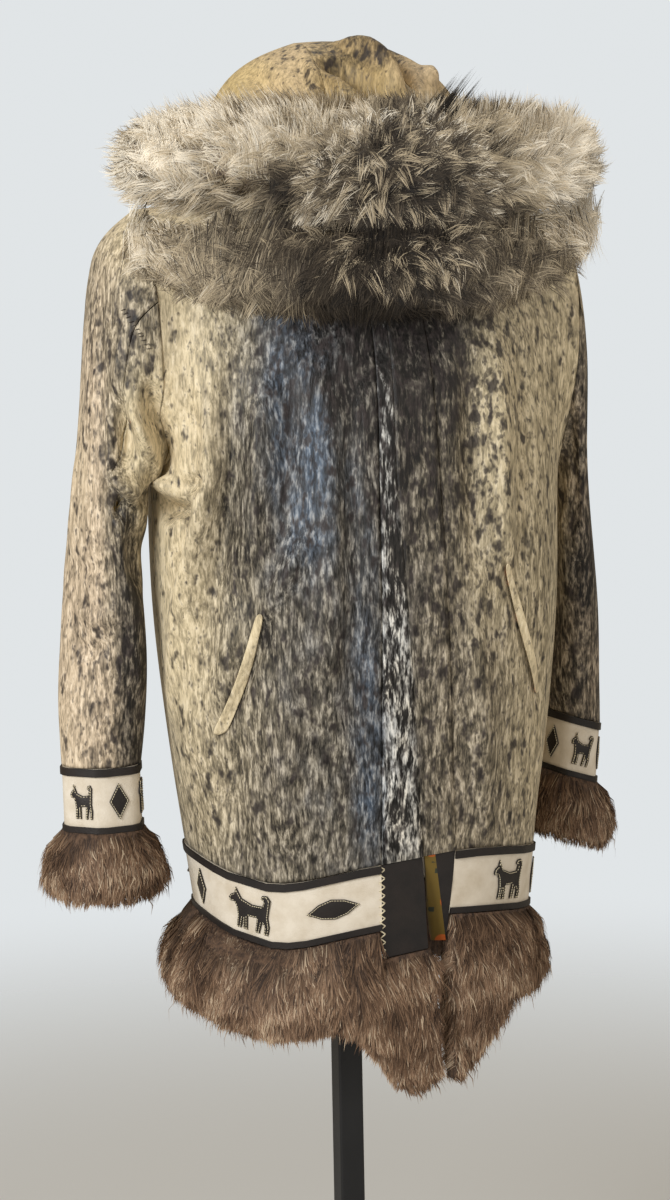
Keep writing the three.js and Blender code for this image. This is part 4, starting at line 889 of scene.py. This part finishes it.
# Stitches and zip teeth
def bar_mesh(name, centres, lengths, widths, heights):
    """Many small rounded bars. Each row of lengths, widths and heights is half a side of one."""
    ring = [(-1, -0.7, -1), (1, -0.7, -1), (1, 0.7, -1), (-1, 0.7, -1),
            (-0.6, -0.5, 1), (0.6, -0.5, 1), (0.6, 0.5, 1), (-0.6, 0.5, 1)]
    faces = [(0, 1, 5, 4), (1, 2, 6, 5), (2, 3, 7, 6), (3, 0, 4, 7), (4, 5, 6, 7), (3, 2, 1, 0)]
    points = []
    for along, across, up in ring:
        points.append(centres + lengths * along + widths * across + heights * up)
    count = len(centres)
    mesh = bpy.data.meshes.new(name)
    mesh.vertices.add(count * 8)
    mesh.vertices.foreach_set("co", np.stack(points, 1).astype(np.float32).ravel())
    corners = (np.arange(count)[:, None] * 8 + np.array(faces).ravel()).ravel()
    mesh.loops.add(count * 24)
    mesh.loops.foreach_set("vertex_index", corners.astype(np.int32))
    mesh.polygons.add(count * 6)
    mesh.polygons.foreach_set("loop_start", np.arange(0, count * 24, 4).astype(np.int32))
    mesh.update(calc_edges=True)
    mesh.validate()
    return mesh


def rim_lines(node, kind, side):
    """The edges round the outer face of a small flat piece: start, end, way inwards, way out."""
    bm = merged_copy(node)
    bm.faces.ensure_lookup_table()
    centres = np.array([face.calc_center_median() for face in bm.faces])
    away = outward(centres, kind, side)
    outer = {face.index for face in bm.faces if face.normal.dot(Vector(away[face.index])) > 0.6}
    lines = []
    for edge in bm.edges:
        kept = [face for face in edge.link_faces if face.index in outer]
        if len(kept) == 1 and len(edge.link_faces) == 2:
            start, end = (np.array(vert.co) for vert in edge.verts)
            normal = np.array(kept[0].normal)
            inwards = np.cross(normal, end - start)
            inwards /= max(np.linalg.norm(inwards), 1e-9)
            if inwards @ (np.array(kept[0].calc_center_median()) - (start + end) / 2) < 0:
                inwards = -inwards
            lines.append((start, end, inwards, normal))
    bm.free()
    return lines


def rim_stitches(name, wanted, spacing, length, inset, slant, thick, left_only=False):
    """Stitches along the rims of several pieces. Slant above 0 makes them zigzag across the rim."""
    centres, lengths, widths, heights = [], [], [], []
    for node, kind, side in wanted:
        for start, end, inwards, normal in rim_lines(node, kind, side):
            if left_only and inwards @ view_right < 0.6:
                continue
            span = end - start
            size = np.linalg.norm(span)
            count = max(1, round(size / spacing))
            along = span / size
            for step in range(count):
                turn = slant * (1 if step % 2 else -1)
                way = along * math.cos(turn) + inwards * math.sin(turn)
                reach = length if slant else min(length, size / count * 0.8)
                centres.append(start + span * (step + 0.5) / count + inwards * inset + normal * 0.00035)
                lengths.append(way * reach / 2)
                widths.append(np.cross(normal, way) * thick)
                heights.append(normal * 0.0003)
    return bar_mesh(name, *(np.array(part) for part in (centres, lengths, widths, heights)))


def place_of(node):
    """Whether a trim goes round the body or a sleeve, and on which side."""
    side = "right" if node.endswith("right") else "left"
    return (node, "sleeve", side) if "cuff" in node else (node, "body", None)


figures = [place_of(node) for node in sorted(nodes) if node.startswith("figure")]
mesh = rim_stitches("figure_stitches", figures, 0.0026, 0.0020, 0.0012, 0.0, 0.0004)
finish_piece(link("figure_stitches", mesh), materials=[THREAD])
panels = [place_of("end_panel_right")]
mesh = rim_stitches("end_panel_stitches", panels, 0.0040, 0.0070, 0.0002, 0.95, 0.0009, left_only=True)
finish_piece(link("end_panel_stitches", mesh), materials=[THREAD])


def seam_stitches(name, lines, spacing, length, material):
    """Whip stitches across seams, each a line of places in the photograph."""
    centres, lengths, widths, heights = [], [], [], []
    for places in lines:
        spots = [spot_on_skin(x, y) for x, y in places]
        spots = [(np.array(point), np.array(normal)) for point, normal in spots if point is not None]
        for (start, normal), (end, _) in zip(spots, spots[1:]):
            span = end - start
            size = np.linalg.norm(span)
            for step in range(max(1, round(size / spacing))):
                across = np.cross(normal, span / size)
                way = unit(np.array([across + span / size * 0.35]))[0]
                centres.append(start + span * (step + 0.5) * spacing / size + normal * 0.0006)
                lengths.append(way * length / 2)
                widths.append(np.cross(normal, way) * 0.0004)
                heights.append(normal * 0.0005)
    bars = (np.array(part) for part in (centres, lengths, widths, heights))
    return finish_piece(link(name, bar_mesh(name, *bars)), materials=[material])


def zip_teeth():
    """A row of teeth down the front of the zip tape."""
    points = points_of(nodes["zip_tape"].data)
    heights = np.arange(points[:, 2].min() + 0.004, points[:, 2].max() - 0.004, 0.0028)
    levels = np.unique(np.round(points[:, 2], 3))
    fronts = []
    for level in levels:
        ring = points[np.abs(points[:, 2] - level) < 0.004]
        fronts.append((ring[:, 0].mean(), ring[:, 1].min(), level))
    fronts = np.array(fronts)
    weave = 0.0008 * np.sign(np.sin(heights * 1122))
    centres = np.stack([np.interp(heights, fronts[:, 2], fronts[:, 0]) + weave,
                        np.interp(heights, fronts[:, 2], fronts[:, 1]) - 0.0002, heights], 1)
    count = len(centres)
    mesh = bar_mesh("zip_teeth", centres, np.tile((0.0022, 0, 0), (count, 1)),
                    np.tile((0, 0, 0.0009), (count, 1)), np.tile((0, -0.0007, 0), (count, 1)))
    return finish_piece(link("zip_teeth", mesh), materials=[TEETH])


zip_teeth()
ARMHOLE_SEAM = [(122, 308), (130, 320), (140, 334), (150, 350)]
seam_stitches("armhole_stitches", [ARMHOLE_SEAM], 0.0045, 0.005, DARK_THREAD)


# Hair
def surface_spots(mesh, count, keep=None):
    """Random points of a mesh with their normals, even by area."""
    mesh.calc_loop_triangles()
    corners = np.empty(len(mesh.loop_triangles) * 3, np.int32)
    mesh.loop_triangles.foreach_get("vertices", corners)
    corners = points_of(mesh)[corners].reshape(-1, 3, 3)
    cross = np.cross(corners[:, 1] - corners[:, 0], corners[:, 2] - corners[:, 0])
    area = np.linalg.norm(cross, axis=1)
    normal = cross / np.maximum(area[:, None], 1e-12)
    weight = area if keep is None else area * keep(corners.mean(1), normal)
    chosen = chance.choice(len(area), count, p=weight / weight.sum())
    first = np.sqrt(chance.random(count))
    second = chance.random(count)
    shares = np.stack([1 - first, first * (1 - second), first * second], 1)
    return (corners[chosen] * shares[:, :, None]).sum(1), normal[chosen]


def hair_mesh(name, roots, middles, tips, shade_normals, width, tone):
    """Blades of two faces: a strip from root to middle and a point. The map holds tone and way along."""
    count = len(roots)
    along = unit(tips - roots)
    side = unit(np.cross(along, shade_normals + chance.normal(size=(count, 3)) * 0.45))
    blade = np.cross(side, along)
    side *= np.where((blade * shade_normals).sum(1, keepdims=True) < 0, -1.0, 1.0)
    half = width[:, None] / 2 * side
    points = np.stack([roots - half, roots + half, middles + half * 0.9, middles - half * 0.9, tips], 1)
    mesh = bpy.data.meshes.new(name)
    mesh.vertices.add(count * 5)
    mesh.vertices.foreach_set("co", points.astype(np.float32).ravel())
    base = np.arange(count)[:, None] * 5
    corners = (base + np.array([0, 1, 2, 3, 3, 2, 4])).ravel()
    mesh.loops.add(count * 7)
    mesh.loops.foreach_set("vertex_index", corners.astype(np.int32))
    mesh.polygons.add(count * 2)
    starts = (np.arange(count)[:, None] * 7 + np.array([0, 4])).ravel()
    mesh.polygons.foreach_set("loop_start", starts.astype(np.int32))
    mesh.update(calc_edges=True)
    mesh.validate()
    layer = mesh.uv_layers.new(name="hair")
    way = np.tile(np.array([0.02, 0.02, 0.55, 0.55, 0.55, 0.55, 0.98]), count)
    across = np.repeat(np.clip(tone, 0.02, 0.98), 7)
    layer.uv.foreach_set("vector", np.stack([across, way], 1).astype(np.float32).ravel())
    shade_smooth(mesh)
    blade = unit(np.cross(side, along))
    soft = unit(shade_normals * 0.7 + blade * 0.5)
    mesh.normals_split_custom_set_from_vertices(np.repeat(soft, 5, axis=0).tolist())
    return mesh


def gather(tips, roots, clumps, share):
    """Draws each tip towards the tip of the nearest of a few leading hairs, as fur forms locks."""
    leaders = chance.choice(len(tips), clumps, replace=False)
    tree = kdtree.KDTree(clumps)
    for index, leader in enumerate(leaders):
        tree.insert(Vector(roots[leader]), index)
    tree.balance()
    nearest = np.array([tree.find(Vector(root))[1] for root in roots])
    leader = leaders[nearest]
    drawn = tips[leader] - roots[leader] * 0.35 + roots * 0.35
    return tips * (1 - share) + drawn * share


def swirl(points, fineness):
    """A smooth field of directions that turns hair this way and that."""
    turned = points * fineness
    parts = []
    for axis in range(3):
        first, second = (axis + 1) % 3, (axis + 2) % 3
        wave = np.sin(2.1 * turned[:, first] + 1.7 * np.sin(1.3 * turned[:, second] + axis))
        parts.append(wave + 0.6 * np.sin(4.3 * turned[:, second] - 2.9 * turned[:, axis] + 2 * axis))
    return np.stack(parts, 1)


def ruff_middles(mesh):
    """The middle of a ruff roll by its place across the jacket."""
    points = points_of(mesh)
    places = np.linspace(points[:, 0].min() + 0.012, points[:, 0].max() - 0.012, 30)
    middles = []
    for place in places:
        ring = points[np.abs(points[:, 0] - place) < 0.02]
        middles.append((ring.min(0) + ring.max(0)) / 2)
    return places, np.array(middles)


# Tone of the ruff's hair in the photograph's pixels: x, y, reach across and down, paleness.
# The places that reach only seven to ten pixels down lie along the crease between the two rolls and are
# painted shade.
RUFF_TONES_AND_SHADE = (
    (140, 180, 30, 60, 0.94), (200, 140, 40, 26, 0.82), (215, 200, 40, 24, 0.60), (180, 275, 40, 30, 0.55),
    (250, 295, 36, 26, 0.42), (300, 295, 20, 25, 0.32), (345, 295, 25, 25, 0.12), (400, 300, 36, 20, 0.08),
    (230, 244, 40, 7, 0.22), (290, 256, 22, 7, 0.14), (316, 276, 12, 10, 0.10), (275, 130, 30, 18, 0.78),
    (285, 185, 10, 18, 0.05), (330, 180, 25, 36, 0.40), (330, 120, 24, 14, 0.80), (395, 190, 30, 35, 0.14),
    (430, 235, 35, 36, 0.14), (460, 120, 22, 16, 0.62), (440, 160, 22, 20, 0.22), (480, 200, 25, 36, 0.36),
    (520, 150, 26, 30, 0.62), (562, 140, 26, 40, 1.00), (582, 200, 24, 30, 0.95), (520, 254, 30, 7, 0.18),
    (566, 216, 16, 9, 0.40), (530, 275, 30, 18, 0.50), (470, 295, 30, 18, 0.40), (500, 225, 24, 18, 0.42),
)


def ruff_hair(node, count, core, lean, comb, length_noise, reach):
    """Hair that stands from the middle of a roll of fur to its outside, combed one way."""
    solid = nodes[node].data
    places, middles = ruff_middles(solid)
    spots, normals = surface_spots(solid, count)
    centre = np.stack([np.interp(spots[:, 0], places, middles[:, axis]) for axis in range(3)], 1)
    flow = comb(spots, centre) + swirl(spots, 24) * 0.4
    flow -= normals * (flow * normals).sum(1, keepdims=True)
    proud = chance.normal(-0.004, length_noise, count) + chance.exponential(0.003, count)
    tips = spots + normals * np.clip(proud, -0.02, 0.014)[:, None]
    across, down = photo_place(spots)
    tone = blend_places(RUFF_TONES_AND_SHADE, across, down)[:, 0]
    fluff = np.clip((tone - 0.6) / 0.4, 0, 1) * chance.exponential(0.0045, count)
    tips += normals * np.minimum(fluff, 0.014)[:, None]
    tips += chance.normal(size=(count, 3)) * (0.0015 + 0.004 * np.clip(tone - 0.5, 0, 1))[:, None]
    tips += flow * chance.uniform(-0.1, reach, count)[:, None] * lean
    extra = np.minimum(chance.exponential(0.006, count), 0.018) * (chance.random(count) < 0.2)
    tips += flow * (extra * reach)[:, None]
    roots = centre + (spots - centre) * core - flow * lean * chance.uniform(0.6, 1.2, count)[:, None]
    tips = gather(tips, roots, count // 30, 0.25)
    middle = roots * 0.45 + tips * 0.55 + normals * 0.007
    tone = tone + chance.normal(0, 1, count) * (0.07 + 0.12 * tone)
    tone[chance.random(count) < 0.07] *= 0.3
    width = chance.uniform(0.0005, 0.0010, count)
    return hair_mesh("hair_" + node, roots, middle, tips, normals, width, tone)


PARTING = np.array([0.05, -0.25, 1.43])


def comb_upper(spots, centre):
    """The upper roll is combed out from its middle and up."""
    away = spots - PARTING
    flow = np.stack([away[:, 0] * 3.2, np.zeros(len(spots)), 0.35 + away[:, 2] * 4], 1)
    return unit(flow)


def comb_lower(spots, centre):
    """The lower roll hangs down and a little outwards."""
    away = spots - PARTING
    return unit(np.stack([away[:, 0] * 1.5, np.zeros(len(spots)), np.full(len(spots), -1.0)], 1))


def core_piece(node, share, material):
    """The skin and undercoat that a roll's hair grows from."""
    piece = smooth_copy("under_" + node, node, 1, keep_rims=False)
    places, middles = ruff_middles(nodes[node].data)
    points = points_of(piece.data)
    centre = np.stack([np.interp(points[:, 0], places, middles[:, axis]) for axis in range(3)], 1)
    move_points(piece.data, centre + (points - centre) * share)
    return finish_piece(piece, [node], [material])


def hair_piece(name, mesh, material):
    """Hair is taken as thin enough to let light through, so it casts no shadow and the skin below it casts
    its shadow; the fur's shade on itself is painted into the hair's colour, darker towards the root.
    """
    mesh.name = name
    piece = link(name, mesh)
    piece.visible_shadow = False
    return finish_piece(piece, materials=[material])


# Hairs in the upper roll's two batches each and in the lower roll, and how far in the skin lies
UPPER_HAIRS = 29000
LOWER_HAIRS = 35000
SKIN_SHARE = 0.66
HAIR_UNEVEN = 0.006

for roll in ("ruff_upper", "ruff_lower"):
    core_piece(roll, SKIN_SHARE, RUFF_UNDER)
for batch in ("a", "b"):
    mesh = ruff_hair("ruff_upper", UPPER_HAIRS, 0.42, 0.022, comb_upper, HAIR_UNEVEN, 0.6)
    hair_piece("ruff_hair_upper_" + batch, mesh, RUFF_HAIR)
mesh = ruff_hair("ruff_lower", LOWER_HAIRS, 0.45, 0.030, comb_lower, HAIR_UNEVEN, 0.9)
hair_piece("ruff_hair_lower", mesh, RUFF_HAIR)

# Locks that radiate from the middle of the ruff and the dark guard hair that stands up beside the hood
BURST_MIDDLE = (400, 195)
GUARD_LOCKS = (
    (398, 148, 440, 92), (410, 142, 458, 78), (420, 140, 472, 74), (428, 146, 480, 84), (436, 150, 484, 96),
    (446, 156, 488, 112), (464, 156, 500, 124), (474, 166, 514, 134), (484, 176, 524, 146),
    (392, 152, 424, 106), (360, 158, 396, 122), (372, 160, 410, 122), (440, 170, 470, 134),
    (455, 180, 492, 150), (283, 168, 286, 206), (276, 166, 272, 204), (290, 170, 296, 206),
    (420, 160, 452, 118), (404, 158, 430, 116), (430, 176, 462, 146),
)
ruff_tree = make_sight_tree(["ruff_upper", "ruff_lower"])


def lock_hair(name, locks, hairs, jitter, lift, lean=0.0, tree=ruff_tree):
    """Locks between two places in the photograph each, that start on the ruff and taper to a point."""
    roots, tips, tones, outs = [], [], [], []
    for x0, y0, x1, y1, tone in locks:
        line = sight_line(x0, y0)
        place, normal, _, distance = tree.ray_cast(Vector(eye), line)
        if place is None:
            continue
        step = distance / FOCAL_PIXELS
        reach = (view_right * (x1 - x0) - view_up * (y1 - y0)) * step
        out = unit(np.array([normal]) * 0.5 - np.array([level_view]) * 0.6 + np.array([[0, 0, 0.2]]))[0]
        starts = np.array(place) - out * 0.012 + chance.normal(0, jitter, (hairs, 3))
        reach = reach + np.array(line) * np.linalg.norm(reach) * lean
        ends = starts + reach * chance.uniform(0.75, 1.1, (hairs, 1)) + out * (0.012 + lift)
        ends -= (starts - np.array(place) + out * 0.012) * 0.7
        roots.append(starts)
        tips.append(ends + chance.normal(0, 0.0012, (hairs, 3)))
        tones.append(tone + chance.normal(0, 0.08, hairs))
        outs.append(np.tile(out, (hairs, 1)))
    roots, tips, outs = np.concatenate(roots), np.concatenate(tips), np.concatenate(outs)
    middle = roots * 0.45 + tips * 0.55 + outs * 0.006
    width = chance.uniform(0.0004, 0.0009, len(roots))
    return hair_mesh(name, roots, middle, tips, outs, width, np.concatenate(tones))


def burst_locks(count):
    """Locks at all angles round the middle of the ruff, longest below it."""
    locks = []
    for _ in range(count):
        angle = chance.uniform(0, 2 * math.pi)
        start = 84 * math.sqrt(chance.uniform(0, 1))
        length = chance.uniform(14, 30)
        x0 = BURST_MIDDLE[0] + start * math.cos(angle) * 1.1
        y0 = BURST_MIDDLE[1] + start * math.sin(angle)
        bent = angle + chance.normal(0, 1.4 - start * 0.011)
        x1 = x0 + length * math.cos(bent)
        y1 = y0 + length * math.sin(bent) + 7
        shade = blend_places(RUFF_TONES_AND_SHADE, np.array([x0]), np.array([y0]))[0, 0]
        locks.append((x0, y0, x1, y1, shade + chance.choice([-0.14, -0.05, 0.1, 0.42])))
    return locks


def loose_locks(count):
    """Small locks all over the front of the ruff, most of them turned away from its middle."""
    locks = []
    for _ in range(count):
        x0, y0 = chance.uniform(140, 590), chance.uniform(110, 300)
        angle = math.atan2(y0 - BURST_MIDDLE[1] + 10, x0 - BURST_MIDDLE[0]) + chance.normal(0, 0.6)
        length = chance.uniform(10, 24)
        shade = blend_places(RUFF_TONES_AND_SHADE, np.array([x0]), np.array([y0]))[0, 0]
        tone = shade + chance.choice([-0.15, -0.05, 0.06, 0.14])
        locks.append((x0, y0, x0 + length * math.cos(angle), y0 + length * math.sin(angle) + 4, tone))
    return locks


dark_locks = [(*lock, chance.uniform(0.0, 0.12)) for lock in GUARD_LOCKS]
hair_piece("ruff_guard_locks", lock_hair("locks", dark_locks, 30, 0.0035, 0.003, 0.7), RUFF_HAIR)
burst_mesh = lock_hair("burst", burst_locks(900) + loose_locks(800), 20, 0.0045, 0.003)
hair_piece("ruff_burst", burst_mesh, RUFF_HAIR)


# Brown fur at the hem and the cuffs
def hanging_hair(node, kind, side, count, length, spread):
    """Hair that hangs down the outside of a fur band and ends about where its solid does."""
    solid = nodes[node].data

    def outside(centres, normals):
        away = outward(centres, kind, side)
        return np.where((normals * away).sum(1) > 0.25, 1.0, 0.25)

    spots, normals = surface_spots(solid, count, outside)
    away = outward(spots, kind, side)
    turn = np.arctan2(away[:, 0], -away[:, 1])
    tree = make_sight_tree([node])
    down = Vector((0, 0, -1))
    met = [tree.ray_cast(Vector(spot), down)[3] for spot in spots - away * 0.002 - normals * 0.001]
    room = np.array([reach or 0.0 for reach in met])
    hair = np.minimum(length * chance.uniform(0.7, 1.25, count), room + chance.normal(0.002, 0.004, count))
    hair = np.maximum(hair, 0.008) + chance.exponential(0.004, count) * (chance.random(count) < 0.3)
    side_ways = np.stack([-away[:, 1], away[:, 0], np.zeros(count)], 1)
    sway = np.sin(turn * 40 + spots[:, 2] * 50) * 0.2 + chance.normal(0, 0.22, count)
    lift = spread * chance.uniform(0.5, 1.3, count)
    flow = away * lift[:, None] + side_ways * sway[:, None]
    flow += normals * 0.25 + swirl(spots, 45) * 0.16
    flow[:, 2] -= 1.0
    flow = unit(flow)
    roots = spots - away * 0.001
    tips = roots + flow * hair[:, None]
    tips = gather(tips, roots, count // 26, 0.4)
    middle = (roots + tips) / 2 + away * (hair * 0.16)[:, None]
    tone = 0.44 + 0.05 * np.sin(turn * 23 + 1.7) + chance.normal(0, 0.22, count)
    tone += 0.16 * swirl(spots, 60)[:, 0] + 0.14 * np.clip(1 - room / 0.05, 0, 1)
    tone = np.clip(tone, 0, 1)
    width = chance.uniform(0.0006, 0.0012, count)
    return hair_mesh("hair_" + node, roots, middle, tips, unit(normals + away), width, tone)


FACING_UP = 0.4
HEM_RISE = 0.002


def raise_top(piece, rise):
    """Lifts what faces up, so that no light shows between the fur and the binding above it."""
    points = points_of(piece.data)
    points[:, 2] += rise * (triples(piece.data.vertices, "normal")[:, 2] > FACING_UP)
    move_points(piece.data, points)


def fur_band(node, kind, side, count, length, spread):
    under = smooth_copy("under_" + node, node, 1, keep_rims=True)
    if node == "fur_hem_back":
        raise_top(under, HEM_RISE)
    finish_piece(under, [node], [BROWN_UNDER])
    mesh = hanging_hair(node, kind, side, count, length, spread)
    return hair_piece(node.replace("fur_", "hair_"), mesh, BROWN_HAIR)


HEM_HAIRS = {"right": 24000, "left": 18000, "back": 17000}
CUFF_HAIRS = 9500
for side, hairs in HEM_HAIRS.items():
    fur_band("fur_hem_" + side, "body", None, hairs, 0.024, 0.26)
for side in ("right", "left"):
    fur_band("fur_cuff_" + side, "sleeve", side, CUFF_HAIRS, 0.022, 0.16)


# Pale and brown locks along the slit at the foot of the front opening
hem_tree = make_sight_tree(["fur_hem_right", "fur_hem_left"])
slit_locks = []
for down in range(946, 1060, 3):
    tone = chance.uniform(0.5, 0.95)
    slit_locks.append((chance.uniform(450, 458), down, chance.uniform(434, 444), down + 14, tone))
    slit_locks.append((chance.uniform(422, 432), down, chance.uniform(434, 444), down + 14, tone * 0.5))
for _ in range(24):
    start = chance.uniform(954, 966)
    slit_locks.append((chance.uniform(424, 432), start, chance.uniform(438, 446), 972, 0.4))
    slit_locks.append((chance.uniform(452, 460), start, chance.uniform(434, 440), 966, 0.7))
mesh = lock_hair("slit", slit_locks, 16, 0.003, -0.006, 0.0, hem_tree)
hair_piece("hair_slit", mesh, BROWN_HAIR)


# The stand keeps its own solids
for node, material in (("stand_form", JERSEY), ("stand_pole", POWDER_COAT), ("stand_base", POWDER_COAT)):
    nodes[node].data.materials.clear()
    nodes[node].data.materials.append(material)


# Floor, light and air
def make_floor():
    bm = bmesh.new()
    bmesh.ops.create_circle(bm, cap_ends=True, segments=96, radius=4.0)
    mesh = bpy.data.meshes.new("floor")
    bm.to_mesh(mesh)
    bm.free()
    floor = link("floor", mesh)
    floor.location.z = -0.0005
    material, tree, shader = new_material("pale_floor", Roughness=0.8)
    shader.inputs["Base Color"].default_value = paint(226, 228, 230)
    parts = add_node(tree, "ShaderNodeVectorMath", {0: object_place(tree)}, operation="LENGTH")
    fade = remap(tree, parts.outputs["Value"], 0.8, 3.2, 1.0, 0.0, smooth=True)
    tree.links.new(fade, shader.inputs["Alpha"])
    mesh.materials.append(material)


def add_light(name, place, target, size, power, colour=(1, 1, 1)):
    data = bpy.data.lights.new(name, "AREA")
    data.shape = "RECTANGLE"
    data.size, data.size_y = size
    data.energy = power
    data.color = colour
    light = bpy.data.objects.new(name, data)
    light.location = place
    light.rotation_euler = (Vector(target) - Vector(place)).to_track_quat("-Z", "Y").to_euler()
    bpy.context.scene.collection.objects.link(light)


def make_light():
    """Soft light, most of it from the viewer's left. The backdrop seen behind is paler than it shines."""
    world = bpy.data.worlds.new("studio")
    world.use_nodes = True
    tree = world.node_tree
    air = tree.nodes["Background"]
    seen = add_node(tree, "ShaderNodeLightPath").outputs["Is Camera Ray"]
    hue = mix_colours(tree, seen, paint(240, 224, 196), paint(230, 234, 236))
    tree.links.new(hue, air.inputs["Color"])
    tree.links.new(remap(tree, seen, 0, 1, 0.38, 0.95), air.inputs["Strength"])
    bpy.context.scene.world = world
    add_light("key", (-2.3, -1.5, 2.0), (0, 0, 1.15), (1.2, 1.2), 64, (0.97, 0.99, 1.0))
    add_light("fill", (0.9, -2.4, 1.5), (0, 0, 1.1), (1.4, 1.4), 10, (0.95, 0.97, 1.0))
    add_light("rim", (2.3, -0.9, 2.2), (0, 0, 1.2), (1.0, 1.0), 7, (1.0, 0.97, 0.92))
    add_light("top", (0.1, 0.3, 3.1), (0, 0, 1.2), (1.6, 1.6), 8)


# The flat cut of each piece of cloth and hide: width, length and area
FRONT_CUT = (0.27, 0.67, 0.165)
HOOD_SIDE_CUT = (0.23, 0.20, 0.039)
WELT_CUT = (0.014, 0.135, 0.0018)
CUFF_CUT = (0.25, 0.056, 0.0139)
CUTS = {
    "skin_back": (0.60, 0.68, 0.37),
    "skin_front_right": FRONT_CUT,
    "skin_front_left": FRONT_CUT,
    "skin_placket_right": (0.027, 0.585, 0.0157),
    "skin_placket_left": (0.042, 0.58, 0.0243),
    "skin_sleeve_outer_right": (0.17, 0.56, 0.079),
    "skin_sleeve_under_right": (0.12, 0.45, 0.049),
    "skin_sleeve_outer_left": (0.15, 0.55, 0.068),
    "skin_sleeve_under_left": (0.11, 0.44, 0.041),
    "skin_hood_centre": (0.115, 0.37, 0.042),
    "skin_hood_right": HOOD_SIDE_CUT,
    "skin_hood_left": HOOD_SIDE_CUT,
    "skin_pocket_welt_right": WELT_CUT,
    "skin_pocket_welt_left": WELT_CUT,
    "trim_hem_band_back": (0.56, 0.061, 0.034),
    "trim_hem_band_right": (0.245, 0.061, 0.0149),
    "trim_hem_band_left": (0.24, 0.061, 0.0146),
    "trim_cuff_band_right": CUFF_CUT,
    "trim_cuff_band_left": CUFF_CUT,
    "trim_end_panel_right": (0.048, 0.092, 0.0044),
    "trim_end_panel_left": (0.028, 0.092, 0.0025),
    "trim_lining_back": (0.52, 0.17, 0.085),
    "trim_zip_tape": (0.0225, 0.55, 0.0123),
}


def declare_sheets():
    """Gathers, for each hem and cuff band, the figures and bindings sewn to it; the lists are not kept or
    used.
    """
    pieces = {piece.name: piece for piece in [*skins.values(), *trims.values()]}
    sewn = {name: [] for name in CUTS}
    for name, piece in pieces.items():
        side = "right" if name.endswith("right") else "left"
        if name.startswith("trim_figure_hem") or name.startswith("trim_hem_binding"):
            band = "back" if "back" in name or "binding" in name else side
            sewn["trim_hem_band_" + band].append(piece)
        elif name.startswith("trim_figure_cuff") or name.startswith("trim_cuff_binding"):
            sewn["trim_cuff_band_" + side].append(piece)


declare_sheets()
make_camera()
make_floor()
make_light()
bpy.context.scene.view_settings.view_transform = "Standard"
